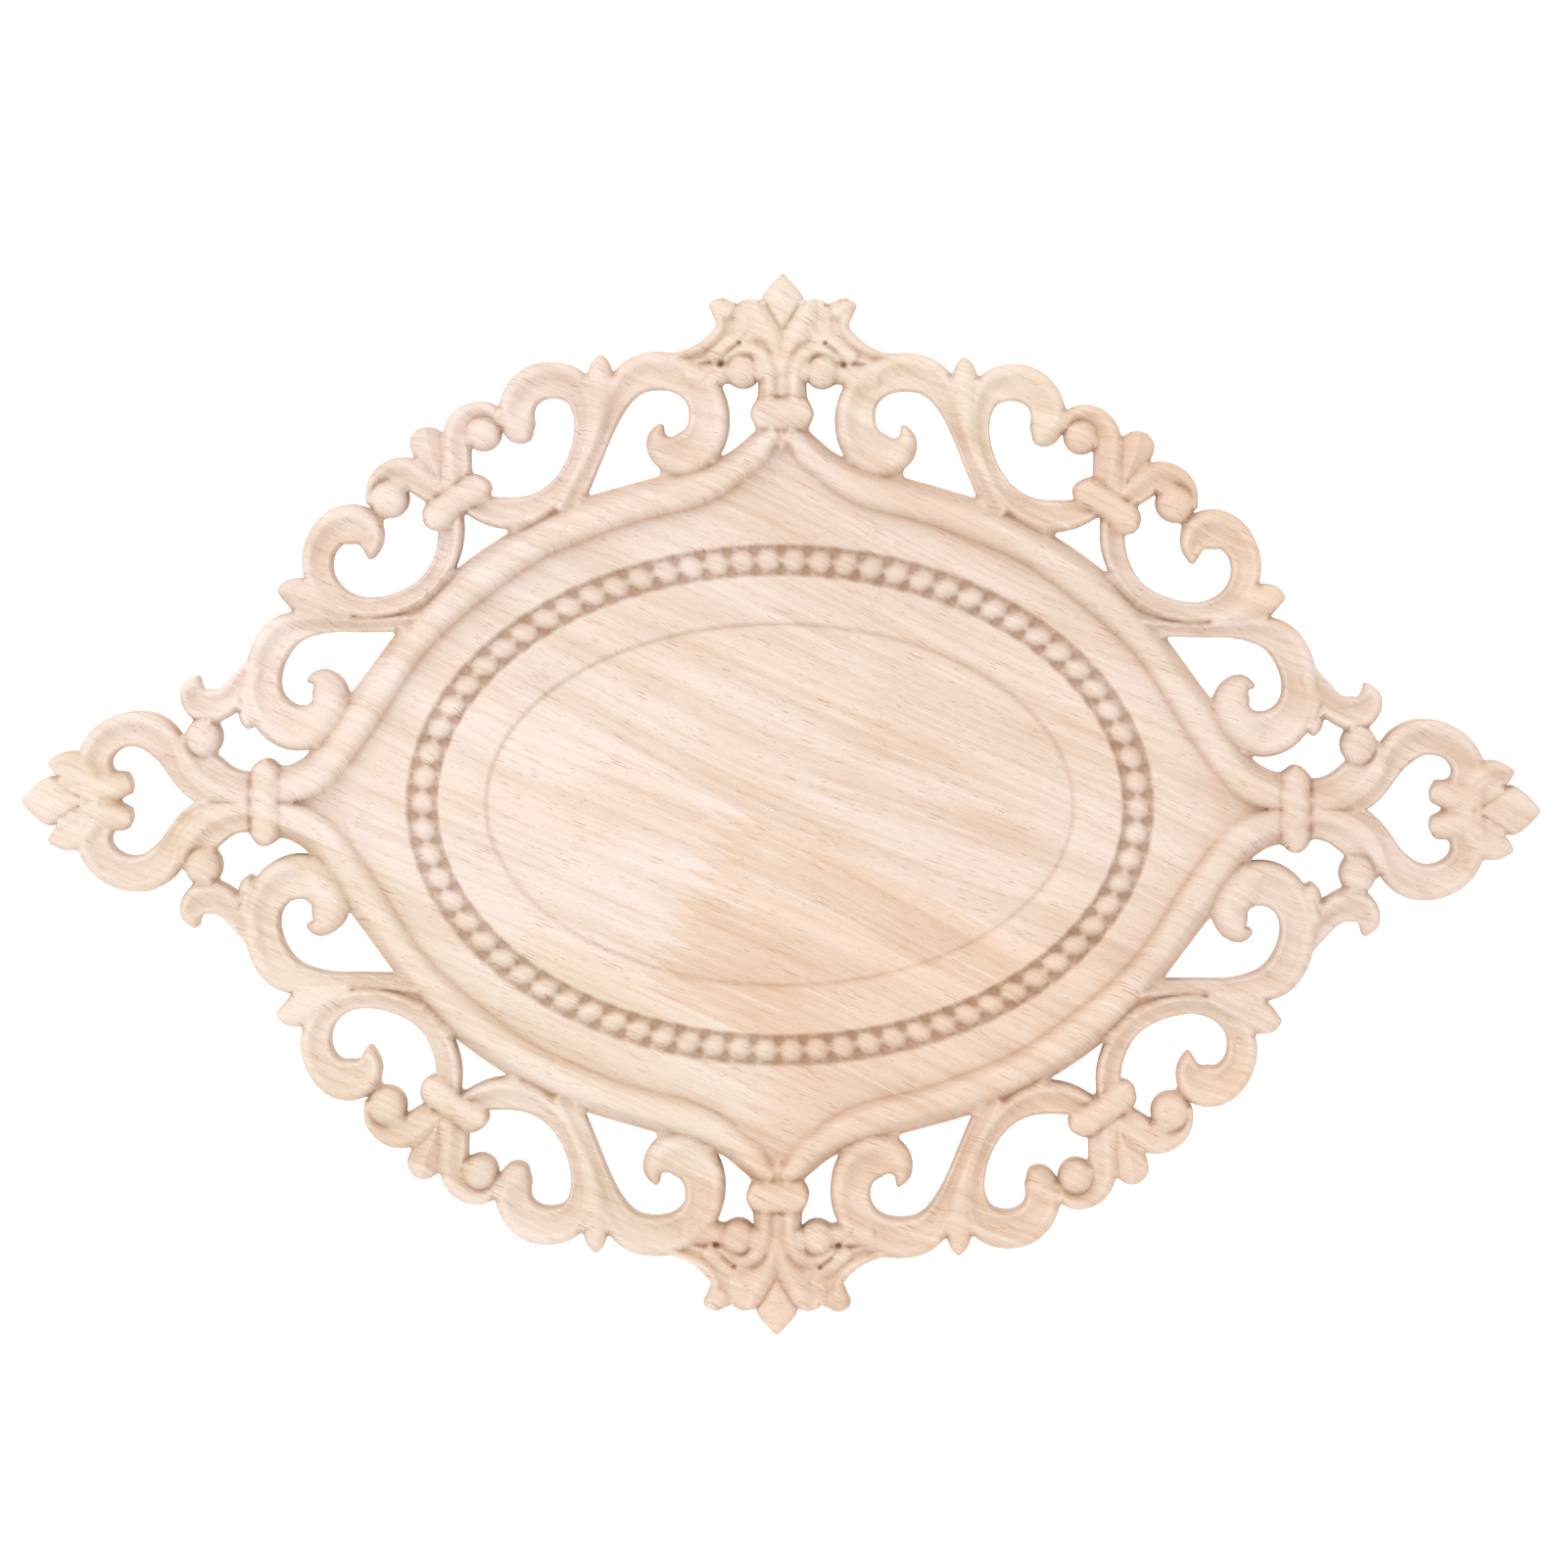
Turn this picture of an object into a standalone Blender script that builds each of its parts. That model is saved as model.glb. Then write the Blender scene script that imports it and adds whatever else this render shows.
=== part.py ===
"""Openwork relief applique cut from one finger-jointed board, 400 x 279 mm.

Width runs along X and height along Z. The carved face looks to -Y and the flat back
lies in the plane y = 0. The plan is drawn for one quarter and mirrored to the other
three. The outside is shared by every quarter, so one list of bands serves all four.
"""
import math

import bmesh
import bpy
import numpy as np

# sizes in metres
LENGTH = 0.400
HEIGHT = 0.279

# quarter plan, in squares of the drawing: the side tip is at 198.7 and the top tip at 142.2
PLAN_HALF_X = 198.7
PLAN_HALF_Y = 142.2
SX = LENGTH / 2.0 / PLAN_HALF_X
SY = HEIGHT / 2.0 / PLAN_HALF_Y

# heights over the back, in metres
FIELD = 0.0090
DISH = 0.0070
RING_LOW = 0.0076
CHANNEL_FLOOR = 0.0060
BEAD_TOP = 0.0102
BEAD_FOOT = 0.0056
BALL_SHOULDER = 0.0104
BALL_TOP = 0.0142
EDGE = 0.0095

# bead channel: outer ellipse, width, wall, and the crease of the dished oval, in metres
CHANNEL_A = 0.0983
CHANNEL_B = 0.0686
CHANNEL_WIDTH = 0.0080
CHANNEL_WALL = 0.0006
CREASE_WALL = 0.0005
CREASE_INSET = 0.0208
BEAD_COUNT = 74
BEAD_LENGTH = 0.0062
BEAD_WIDTH = 0.0058
BEAD_SIDES = 6
BALL_SIDES = 11
DOME_RING = 0.64
DOME_RISE = 0.78

# meshing of the solid: longest rung spacing, turn and change of width between rungs
STEP = 12.0
ROLL_STEP = 19.2
SAMPLE = 0.2
TURN = 0.64
SWELL = 3.0
PLATE_RAYS = 56
TRIANGLES = 9900

# narrowest half width of a band, how near its inner edge may come to the centre of a
# bend, half width below which it falls towards the edge height, and stations over which
# the scroll section turns into the bulb; NO_BULB keeps one section to the end
NARROWEST = 0.3
BEND_SHARE = 0.86
FALL_WIDTH = 2.2
BULB_STATIONS = 1.5
NO_BULB = 99.0

# joining: points closer than WELD are one, and points this near the back lie in it, in metres
WELD = 0.00002
BACK_SNAP = 0.0002
SHARP = math.radians(40.0)

# cross sections from the outer edge (-1) to the inner edge (+1), heights in millimetres
SCROLL = ((-1.0, 9.8), (-0.68, 13.0), (0.1, 10.9), (0.72, 11.5), (1.0, 9.8))
BULB = ((-1.0, 9.6), (-0.68, 12.8), (0.1, 14.0), (0.72, 12.5), (1.0, 9.6))
ROUND = ((-1.0, 9.6), (-0.6, 13.2), (0.0, 14.2), (0.6, 13.2), (1.0, 9.6))
ROLL = ((-1.0, 9.8), (-0.72, 13.2), (-0.2, 14.0), (0.35, 12.6), (1.0, 8.5))
RIDGE = ((-1.0, 9.2), (-0.45, 11.4), (0.0, 13.8), (0.45, 11.4), (1.0, 9.2))
WRAP = ((-1.0, 10.4), (-0.7, 14.0), (0.0, 15.0), (0.7, 14.0), (1.0, 10.4))
FLUTE = (
    (-1.0, 9.4), (-0.6, 11.8), (-0.3, 10.4), (0.0, 11.8), (0.3, 10.4), (0.6, 11.8), (1.0, 9.4))

# bands of one quarter: centre line and half width at each station, the side of the rim
# as one travels along the band (left +1, right -1), section, station where the bulb begins
BANDS = {
    "crest_scroll": (-1, SCROLL, 10.0, (
        (56.5, 78.5, 3.0), (52.3, 86.8, 2.5), (48.0, 97.2, 2.4), (44.2, 107.2, 3.3),
        (38.0, 115.0, 4.7), (32.0, 116.3, 5.0), (25.2, 114.6, 4.8), (20.4, 109.2, 4.5),
        (19.6, 102.5, 4.6), (21.6, 97.2, 5.1), (26.6, 94.0, 5.3), (31.2, 95.6, 3.9),
        (32.6, 98.6, 2.3), (31.6, 101.8, 0.5))),
    "shoulder_scroll": (1, SCROLL, 11.5, (
        (83.0, 81.0, 2.0), (76.5, 79.1, 3.3), (70.0, 78.6, 3.6), (63.5, 80.4, 3.0),
        (57.5, 85.4, 2.5), (53.6, 93.0, 2.0), (51.8, 100.5, 2.2), (52.0, 106.6, 2.9),
        (54.2, 111.6, 4.2), (59.4, 113.7, 4.7), (65.0, 112.5, 4.7), (68.6, 108.6, 4.4),
        (69.4, 103.5, 4.3), (68.6, 100.9, 4.0), (67.4, 98.9, 3.0), (66.4, 97.9, 1.4))),
    "flank_scroll": (-1, SCROLL, 12.5, (
        (86.8, 79.5, 2.8), (86.4, 72.0, 3.0), (88.2, 64.6, 2.8), (93.0, 57.8, 2.6),
        (100.5, 53.7, 2.6), (109.3, 52.6, 2.4), (116.0, 54.8, 2.8), (120.6, 60.2, 3.4),
        (121.3, 65.8, 3.7), (119.2, 71.2, 4.1), (114.2, 74.7, 5.0), (109.6, 73.7, 4.9),
        (107.3, 70.2, 3.0), (107.2, 67.2, 1.4), (107.3, 65.7, 0.4))),
    "side_scroll": (1, SCROLL, 9.0, (
        (94.5, 48.8, 2.2), (104.0, 48.0, 1.8), (111.0, 47.9, 1.8), (117.3, 48.1, 2.1),
        (123.6, 47.9, 3.3), (129.6, 46.0, 4.4), (133.6, 41.0, 4.6), (135.4, 35.2, 4.4),
        (135.3, 29.0, 4.5), (133.2, 24.0, 5.2), (129.0, 20.6, 5.7), (124.6, 20.1, 5.7),
        (120.4, 22.5, 4.9), (117.8, 27.2, 4.4), (118.6, 31.2, 4.0), (121.0, 33.4, 2.2),
        (123.5, 32.8, 0.4))),
    "side_curl": (-1, SCROLL, 4.0, (
        (137.6, 36.2, 2.4), (140.7, 31.4, 3.4), (143.8, 28.0, 3.5), (147.2, 26.0, 4.0),
        (150.8, 25.8, 4.3), (153.6, 28.0, 3.2), (153.9, 30.8, 2.4), (153.4, 32.4, 1.3),
        (152.8, 33.6, 0.4))),
    "heart_inner": (-1, SCROLL, 9.0, (
        (134.0, 4.4, 3.6), (141.0, 4.5, 3.4), (145.4, 5.7, 3.7), (150.0, 8.9, 4.0),
        (153.6, 13.0, 3.0), (155.0, 16.0, 1.9), (155.2, 18.2, 0.8))),
    "heart_outer": (1, SCROLL, 8.6, (
        (134.0, -0.4, 1.2), (143.0, -0.2, 1.4), (149.3, 0.9, 2.1), (154.2, 4.2, 2.5),
        (157.9, 9.0, 2.6), (160.4, 14.6, 4.2), (165.6, 19.0, 4.7), (170.6, 19.4, 4.4),
        (175.3, 17.6, 4.2), (178.9, 13.6, 4.0), (179.9, 9.0, 4.3), (179.0, 4.0, 5.2),
        (178.6, -2.0, 4.4))),
    "heart_point": (1, BULB, NO_BULB, (
        (181.0, 2.0, 3.4), (176.2, 4.1, 3.2), (173.2, 5.6, 1.9), (171.9, 6.5, 0.4))),
    "tip_lobe": (1, RIDGE, NO_BULB, (
        (180.0, 4.0, 3.0), (184.4, 8.2, 4.6), (187.3, 9.6, 3.7), (189.7, 10.2, 2.2),
        (191.2, 10.6, 0.6))),
    "flank_curl_low": (1, BULB, NO_BULB, (
        (87.5, 81.5, 2.6), (90.6, 83.6, 3.2), (93.8, 86.0, 3.6), (97.2, 88.6, 3.7),
        (100.5, 89.3, 3.2), (103.6, 88.3, 2.5), (106.0, 86.0, 1.9), (107.0, 83.2, 1.4),
        (107.2, 80.4, 1.0))),
    "flank_curl_high": (-1, BULB, NO_BULB, (
        (84.2, 82.0, 2.6), (84.6, 88.0, 3.1), (85.0, 94.0, 3.4), (85.0, 99.0, 3.3),
        (83.2, 103.2, 2.9), (79.6, 105.2, 2.5), (76.2, 104.4, 2.4), (74.6, 102.2, 1.4))),
    "flank_leaf": (1, RIDGE, NO_BULB, (
        (88.6, 84.0, 0.8), (89.6, 88.0, 1.8), (91.0, 92.0, 3.4), (92.3, 95.6, 4.3),
        (92.8, 98.3, 4.1), (93.0, 100.2, 2.4))),
    "crest_bud": (1, ROUND, NO_BULB, (
        (51.5, 90.0, 0.6), (49.3, 98.0, 1.6), (48.0, 105.0, 2.8), (47.6, 110.5, 3.5),
        (47.6, 114.2, 3.3), (47.6, 117.2, 2.5), (47.5, 119.2, 1.5), (47.5, 120.3, 0.4))),
    "side_bud": (1, ROUND, NO_BULB, (
        (112.5, 50.4, 0.6), (117.5, 51.9, 2.3), (122.0, 53.9, 3.9), (125.6, 55.8, 4.3),
        (128.4, 56.7, 3.3), (130.2, 56.8, 2.0), (131.2, 56.8, 0.6))),
    "thorn": (1, ROUND, NO_BULB, (
        (139.0, 30.5, 0.8), (139.8, 26.2, 1.6), (139.5, 23.0, 1.8), (139.1, 21.0, 1.3),
        (139.0, 19.9, 0.4))),
    "crown_curl": (1, SCROLL, 2.5, (
        (3.6, 105.0, 2.4), (3.9, 112.0, 2.2), (4.7, 116.5, 2.3), (6.6, 119.8, 2.2),
        (9.6, 121.2, 1.7), (12.6, 120.0, 1.5), (14.4, 117.8, 1.0))),
    "crown_lobe": (1, ROUND, NO_BULB, (
        (1.2, 116.0, 2.4), (3.6, 122.0, 4.2), (6.4, 127.2, 4.8), (8.2, 131.0, 4.0),
        (8.8, 133.6, 3.3), (9.0, 135.1, 1.9))),
    "crown_wing": (-1, SCROLL, NO_BULB, (
        (29.0, 119.0, 1.4), (20.8, 121.2, 2.5), (16.4, 124.8, 3.5), (14.6, 128.4, 3.0),
        (15.1, 131.2, 3.4), (15.6, 133.2, 3.7), (15.7, 134.4, 2.9), (15.7, 135.2, 1.6))),
    "crown_bridge": (1, ROUND, NO_BULB, (
        (11.5, 115.8, 2.2), (16.0, 116.3, 2.9), (20.5, 116.2, 2.4))),
}

# bands that lie across an axis of the plan and are drawn whole; each is mirrored once
CROSS_BANDS = {
    "crown_petal": (RIDGE, "y", ((0.0, 126.0, 0.3), (0.0, 128.8, 2.3), (0.0, 133.0, 4.8),
                                 (0.0, 135.2, 5.3), (0.0, 137.4, 4.0), (0.0, 140.2, 1.9),
                                 (0.0, 142.2, 0.3))),
    "crown_stem": (FLUTE, "y", ((0.0, 103.0, 6.2), (0.0, 112.6, 6.2), (0.0, 118.0, 4.0),
                                (0.0, 121.0, 2.6))),
    "tip_petal": (RIDGE, "x", ((180.5, 0.0, 0.3), (185.0, 0.0, 3.2), (189.5, 0.0, 6.0),
                               (192.3, 0.0, 6.4), (195.2, 0.0, 4.7), (197.4, 0.0, 2.3),
                               (198.7, 0.0, 0.3))),
    "crown_collar": (WRAP, "y", ((-8.0, 104.8, 1.8), (-6.9, 104.8, 3.6), (0.0, 104.8, 4.1),
                                 (6.9, 104.8, 3.6), (8.0, 104.8, 1.8))),
    "side_collar": (WRAP, "x", ((134.7, -12.1, 1.6), (134.7, -10.4, 3.2), (134.7, 0.0, 3.6),
                                (134.7, 10.4, 3.2), (134.7, 12.1, 1.6))),
}

# flank ties: two wraps that bind the scrolls, and the balls held in the curls
TIE = ((76.6, 85.4, 1.4), (77.8, 85.0, 3.0), (80.2, 84.1, 4.1), (84.4, 81.6, 3.4),
       (88.2, 78.7, 4.0), (90.4, 76.1, 3.7), (91.3, 74.2, 1.8))
BALLS = ((78.0, 99.2, 4.5, 4.7), (102.6, 81.6, 5.0, 5.2), (151.0, 17.3, 4.7, 5.2),
         (11.0, 116.2, 4.5, 4.6))

# frame roll of one quarter: outer edge and inner groove, rung by rung
ROLL_RUNGS = (
    (6.4, 103.0, -1.0, 103.5), (9.0, 97.6, 3.0, 95.2), (14.0, 94.0, 7.0, 89.7),
    (22.0, 90.0, 17.5, 82.4), (32.0, 87.2, 29.5, 78.5), (44.0, 83.8, 41.0, 75.3),
    (54.0, 80.5, 50.5, 71.6), (66.0, 74.8, 61.5, 66.8), (75.0, 69.3, 70.5, 61.0),
    (84.0, 62.5, 78.5, 54.7), (92.0, 54.5, 86.5, 47.8), (100.0, 45.0, 93.5, 40.4),
    (108.0, 34.0, 101.0, 29.2), (114.0, 25.5, 107.0, 19.5), (120.0, 16.0, 113.0, 10.7),
    (126.0, 10.2, 119.5, 3.3), (131.3, 8.2, 127.0, 0.3), (135.5, 8.0, 135.0, -0.8))


def spline(points, step):
    """Even samples of the natural cubic spline through the rows of points."""
    p = np.array(points, dtype=float)
    u = np.concatenate(([0.0], np.cumsum(np.hypot(*(p[1:, :2] - p[:-1, :2]).T))))
    n = len(p)
    h = np.diff(u)
    m = np.eye(n)
    rhs = np.zeros_like(p)
    for i in range(1, n - 1):
        m[i, i - 1] = h[i - 1]
        m[i, i] = 2.0 * (h[i - 1] + h[i])
        m[i, i + 1] = h[i]
        rhs[i] = 6.0 * ((p[i + 1] - p[i]) / h[i] - (p[i] - p[i - 1]) / h[i - 1])
    curve = np.linalg.solve(m, rhs)
    count = max(3, int(round(u[-1] / step)) + 1)
    s = np.linspace(0.0, u[-1], count)
    k = np.clip(np.searchsorted(u, s, side="right") - 1, 0, n - 2)
    a = ((u[k + 1] - s) / h[k])[:, None]
    b = ((s - u[k]) / h[k])[:, None]
    hk = (h[k] ** 2 / 6.0)[:, None]
    out = a * p[k] + b * p[k + 1] + hk * ((a ** 3 - a) * curve[k] + (b ** 3 - b) * curve[k + 1])
    station = np.interp(s, u, np.arange(n))
    return out, station


def edges_of(points, step, rim):
    """Outer and inner edge of a band from its centre line and half widths."""
    fine, fine_station = spline(points, SAMPLE)
    d = np.gradient(fine[:, :2], axis=0)
    length = np.hypot(d[:, 0], d[:, 1])
    d = d / length[:, None]
    heading = np.unwrap(np.arctan2(d[:, 1], d[:, 0]))
    turn = np.gradient(heading) / length
    cost = length / step + np.abs(np.gradient(heading)) / TURN
    cost = np.cumsum(cost + np.abs(np.gradient(fine[:, 2])) / SWELL)
    count = max(2, int(round(cost[-1] - cost[0])))
    marks = np.linspace(cost[0], cost[-1], count + 1)
    picks = np.unique(np.round(np.interp(marks, cost, np.arange(len(fine)))).astype(int))
    left = np.stack((-d[:, 1], d[:, 0]), axis=1)
    w = np.maximum(fine[:, 2], NARROWEST)
    w_left = np.where(turn > 1e-4, np.minimum(w, BEND_SHARE / np.maximum(turn, 1e-4)), w)
    w_right = np.where(turn < -1e-4, np.minimum(w, BEND_SHARE / np.maximum(-turn, 1e-4)), w)
    a = fine[:, :2] + left * w_left[:, None]
    b = fine[:, :2] - left * w_right[:, None]
    if rim < 0:
        a, b = b, a
    return a[picks], b[picks], fine_station[picks]


def loft(outer, inner, sections):
    """Closed band between two edges, from the back up: one section of (t, height) per rung."""
    rows = len(outer)
    cols = len(sections[0])
    verts = []
    for i in range(rows):
        for t, z in sections[i]:
            q = outer[i] + (inner[i] - outer[i]) * (t + 1.0) / 2.0
            verts.append((q[0], q[1], z))
    for i in range(rows):
        verts.append((outer[i][0], outer[i][1], 0.0))
        verts.append((inner[i][0], inner[i][1], 0.0))
    base = rows * cols
    faces = []
    for i in range(rows - 1):
        for j in range(cols - 1):
            a = i * cols + j
            faces.append((a, a + 1, a + cols + 1, a + cols))
        faces.append((base + 2 * i, i * cols, (i + 1) * cols, base + 2 * i + 2))
        faces.append((i * cols + cols - 1, base + 2 * i + 1, base + 2 * i + 3,
                      (i + 1) * cols + cols - 1))
        faces.append((base + 2 * i + 1, base + 2 * i, base + 2 * i + 2, base + 2 * i + 3))
    faces.append([base + 1] + [j for j in reversed(range(cols))] + [base])
    last = (rows - 1) * cols
    end = [last + j for j in range(cols)]
    faces.append([base + 2 * rows - 2] + end + [base + 2 * rows - 1])
    return verts, faces


def blend(first, second, amount):
    """Section part way between two others, sampled at the first one's stations."""
    t = np.array([row[0] for row in first])
    z1 = np.array([row[1] for row in first])
    z2 = np.interp(t, [row[0] for row in second], [row[1] for row in second])
    z = z1 * (1.0 - amount) + z2 * amount
    return tuple(zip(t, z))


def end_fall(points, width):
    """Lower a section where the band narrows, so that tips fall towards the edge height."""
    share = min(1.0, math.sqrt(max(width, 0.05) / FALL_WIDTH))
    floor_z = EDGE * 1000.0
    return tuple((t, floor_z + (z - floor_z) * share if z > floor_z else z) for t, z in points)


def band(points, rim, section, bulb_from, step):
    """Closed carved band along its centre line."""
    outer, inner, station = edges_of(points, step, rim)
    sections = []
    for i in range(len(outer)):
        amount = min(1.0, max(0.0, (station[i] - bulb_from) / BULB_STATIONS))
        amount = amount * amount * (3.0 - 2.0 * amount)
        row = blend(section, BULB, amount)
        half = float(np.hypot(*(outer[i] - inner[i]))) / 2.0
        sections.append(end_fall(row, half))
    return loft(outer, inner, sections)


def roll_band(step):
    """Closed frame roll of one quarter, and its middle line."""
    rungs = np.array(ROLL_RUNGS)
    mid = (rungs[:, :2] + rungs[:, 2:]) / 2.0
    rows = np.hstack((mid, rungs))
    out, _ = spline(rows, step)
    outer = out[:, 2:4]
    inner = out[:, 4:6]
    return loft(outer, inner, [ROLL] * len(outer)), out[:, :2]


def plate(boundary, rays):
    """Dished oval, beaded channel and flat field as nested loops about the centre."""
    ca = CHANNEL_A / SX
    cb = CHANNEL_B / SY
    loops = (
        (CREASE_INSET + CREASE_WALL, DISH), (CREASE_INSET, RING_LOW), (CHANNEL_WIDTH, FIELD),
        (CHANNEL_WIDTH - CHANNEL_WALL, CHANNEL_FLOOR), (CHANNEL_WALL, CHANNEL_FLOOR),
        (0.0, FIELD))
    edge = []
    for sx, sy in ((1, 1), (-1, 1), (-1, -1), (1, -1)):
        rows = boundary * np.array((sx, sy))
        edge.append(rows if sx * sy < 0 else rows[::-1])
    edge = np.vstack(edge)
    edge_angle = np.arctan2(edge[:, 1] / cb, edge[:, 0] / ca)
    edge_reach = np.hypot(edge[:, 0] / ca, edge[:, 1] / cb)
    order = np.argsort(edge_angle)
    edge_angle = edge_angle[order]
    edge_reach = edge_reach[order]
    verts = [(0.0, 0.0, DISH * 1000.0), (0.0, 0.0, 0.0)]
    for inset, z in loops:
        for k in range(rays):
            th = 2.0 * math.pi * k / rays
            verts.append(((CHANNEL_A - inset) / SX * math.cos(th),
                          (CHANNEL_B - inset) / SY * math.sin(th), z * 1000.0))
    for z in (FIELD * 1000.0, 0.0):
        for k in range(rays):
            th = 2.0 * math.pi * k / rays
            th = math.atan2(math.sin(th), math.cos(th))
            reach = float(np.interp(th, edge_angle, edge_reach, period=2.0 * math.pi))
            verts.append((reach * ca * math.cos(th), reach * cb * math.sin(th), z))
    faces = []
    for k in range(rays):
        n = (k + 1) % rays
        faces.append((0, 2 + k, 2 + n))
        for m in range(len(loops) + 1):
            a = 2 + m * rays
            b = a + rays
            faces.append((a + k, b + k, b + n, a + n))
        last = 2 + (len(loops) + 1) * rays
        faces.append((1, last + n, last + k))
    return verts, faces


def dome(x, y, rx, ry, low, shoulder, top, sides, turn):
    """Closed dome with an oval foot; turn is the heading of its long axis."""
    rings = [(1.0, low), (1.0, shoulder), (DOME_RING, shoulder + (top - shoulder) * DOME_RISE)]
    if low > 0.0:
        rings.pop(1)
    verts = []
    c = math.cos(turn)
    s = math.sin(turn)
    for share, z in rings:
        for k in range(sides):
            th = 2.0 * math.pi * k / sides
            u = rx * share * math.cos(th)
            v = ry * share * math.sin(th)
            verts.append((x + (u * c - v * s) / (SX * 1000.0), y + (u * s + v * c) / (SY * 1000.0), z))
    verts.append((x, y, top))
    apex = len(verts) - 1
    faces = [[k for k in reversed(range(sides))]]
    for m in range(len(rings) - 1):
        for k in range(sides):
            n = (k + 1) % sides
            faces.append((m * sides + k, m * sides + n, (m + 1) * sides + n, (m + 1) * sides + k))
    for k in range(sides):
        n = (k + 1) % sides
        faces.append(((len(rings) - 1) * sides + k, (len(rings) - 1) * sides + n, apex))
    return verts, faces


def bead_places():
    """Centres and headings of the beads, evenly spaced along the channel's centre line."""
    a = CHANNEL_A - CHANNEL_WIDTH / 2.0
    b = CHANNEL_B - CHANNEL_WIDTH / 2.0
    th = np.linspace(0.0, 2.0 * math.pi, 7201)
    x = a * np.cos(th)
    y = b * np.sin(th)
    run = np.concatenate(([0.0], np.cumsum(np.hypot(np.diff(x), np.diff(y)))))
    places = []
    for k in range(BEAD_COUNT):
        s = run[-1] * k / BEAD_COUNT
        t = float(np.interp(s, run, th))
        heading = math.atan2(b * math.cos(t), -a * math.sin(t))
        places.append((a * math.cos(t) / SX, b * math.sin(t) / SY, heading))
    return places


def add_object(name, verts, faces, sx, sy):
    """Blender object from plan points and heights, mirrored where sx or sy is -1."""
    mesh = bpy.data.meshes.new(name)
    bm = bmesh.new()
    made = []
    for x, y, z in verts:
        made.append(bm.verts.new((x * sx * SX, -z / 1000.0, y * sy * SY)))
    for face in faces:
        loop = [made[i] for i in face]
        if sx * sy < 0:
            loop.reverse()
        bm.faces.new(loop)
    bmesh.ops.triangulate(bm, faces=bm.faces[:])
    bm.normal_update()
    if bm.calc_volume(signed=True) < 0.0:
        bmesh.ops.reverse_faces(bm, faces=bm.faces[:])
    bm.to_mesh(mesh)
    bm.free()
    return bpy.data.objects.new(name, mesh)


def relief_parts():
    """Every closed piece of the relief, before they are joined to one solid."""
    rows = []
    quarters = ((1, 1), (-1, 1), (-1, -1), (1, -1))
    roll, middle = roll_band(ROLL_STEP)
    body = plate(middle, PLATE_RAYS)
    for sx, sy in quarters:
        rows.append(("roll", roll, sx, sy))
    for name, (rim, section, bulb_from, points) in BANDS.items():
        shape = band(points, rim, section, bulb_from, STEP)
        for sx, sy in quarters:
            rows.append((name, shape, sx, sy))
    shape = band(TIE, 1, WRAP, NO_BULB, STEP)
    for sx, sy in quarters:
        rows.append(("tie", shape, sx, sy))
    for i, (x, y, rx, ry) in enumerate(BALLS):
        shape = dome(x, y, rx, ry, 0.0, BALL_SHOULDER * 1000.0, BALL_TOP * 1000.0,
                     BALL_SIDES, 0.0)
        for sx, sy in quarters:
            rows.append(("ball_%d" % i, shape, sx, sy))
    for name, (section, axis, points) in CROSS_BANDS.items():
        shape = band(points, 1, section, NO_BULB, STEP)
        rows.append((name, shape, 1, 1))
        rows.append((name, shape, -1 if axis == "x" else 1, -1 if axis == "y" else 1))
    for x, y, heading in bead_places():
        shape = dome(x, y, BEAD_LENGTH * 500.0, BEAD_WIDTH * 500.0, BEAD_FOOT * 1000.0,
                     BEAD_FOOT * 1000.0, BEAD_TOP * 1000.0, BEAD_SIDES, heading)
        rows.append(("bead", shape, 1, 1))
    return body, rows


def join_all():
    """One solid from the plate and every piece of the relief."""
    body, rows = relief_parts()
    base = add_object("applique", body[0], body[1], 1, 1)
    bpy.context.scene.collection.objects.link(base)
    group = bpy.data.collections.new("relief")
    for name, (verts, faces), sx, sy in rows:
        group.objects.link(add_object(name, verts, faces, sx, sy))
    join = base.modifiers.new("join", "BOOLEAN")
    join.operation = "UNION"
    join.operand_type = "COLLECTION"
    join.collection = group
    join.solver = "MANIFOLD"
    graph = bpy.context.evaluated_depsgraph_get()
    mesh = bpy.data.meshes.new_from_object(base.evaluated_get(graph))
    base.modifiers.clear()
    base.data = mesh
    for ob in list(group.objects):
        bpy.data.objects.remove(ob)
    bpy.data.collections.remove(group)
    return base


def tidy(ob):
    """One closed skin of triangles, thinned evenly to the triangle budget."""
    bm = bmesh.new()
    bm.from_mesh(ob.data)
    bmesh.ops.remove_doubles(bm, verts=bm.verts[:], dist=WELD)
    bmesh.ops.triangulate(bm, faces=bm.faces[:], ngon_method="EAR_CLIP")
    count = len(bm.faces)
    bm.to_mesh(ob.data)
    bm.free()
    thin = ob.modifiers.new("thin", "DECIMATE")
    thin.decimate_type = "COLLAPSE"
    thin.ratio = min(1.0, TRIANGLES / count)
    thin.use_collapse_triangulate = True
    graph = bpy.context.evaluated_depsgraph_get()
    mesh = bpy.data.meshes.new_from_object(ob.evaluated_get(graph))
    ob.modifiers.clear()
    ob.data = mesh
    for v in mesh.vertices:
        if v.co.y > -BACK_SNAP:
            v.co.y = 0.0
    bm = bmesh.new()
    bm.from_mesh(mesh)
    bmesh.ops.recalc_face_normals(bm, faces=bm.faces[:])
    bm.to_mesh(mesh)
    bm.free()
    mesh.shade_smooth()
    mesh.set_sharp_from_angle(angle=SHARP)


def wood():
    """Pale wood, sanded and unfinished."""
    mat = bpy.data.materials.new("wood")
    mat.use_nodes = True
    shader = mat.node_tree.nodes["Principled BSDF"]
    shader.inputs["Base Color"].default_value = (0.74, 0.53, 0.36, 1.0)
    shader.inputs["Roughness"].default_value = 0.62
    return mat


for ob in list(bpy.data.objects):
    bpy.data.objects.remove(ob)
applique = join_all()
tidy(applique)
applique.data.materials.clear()
applique.data.materials.append(wood())
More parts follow.
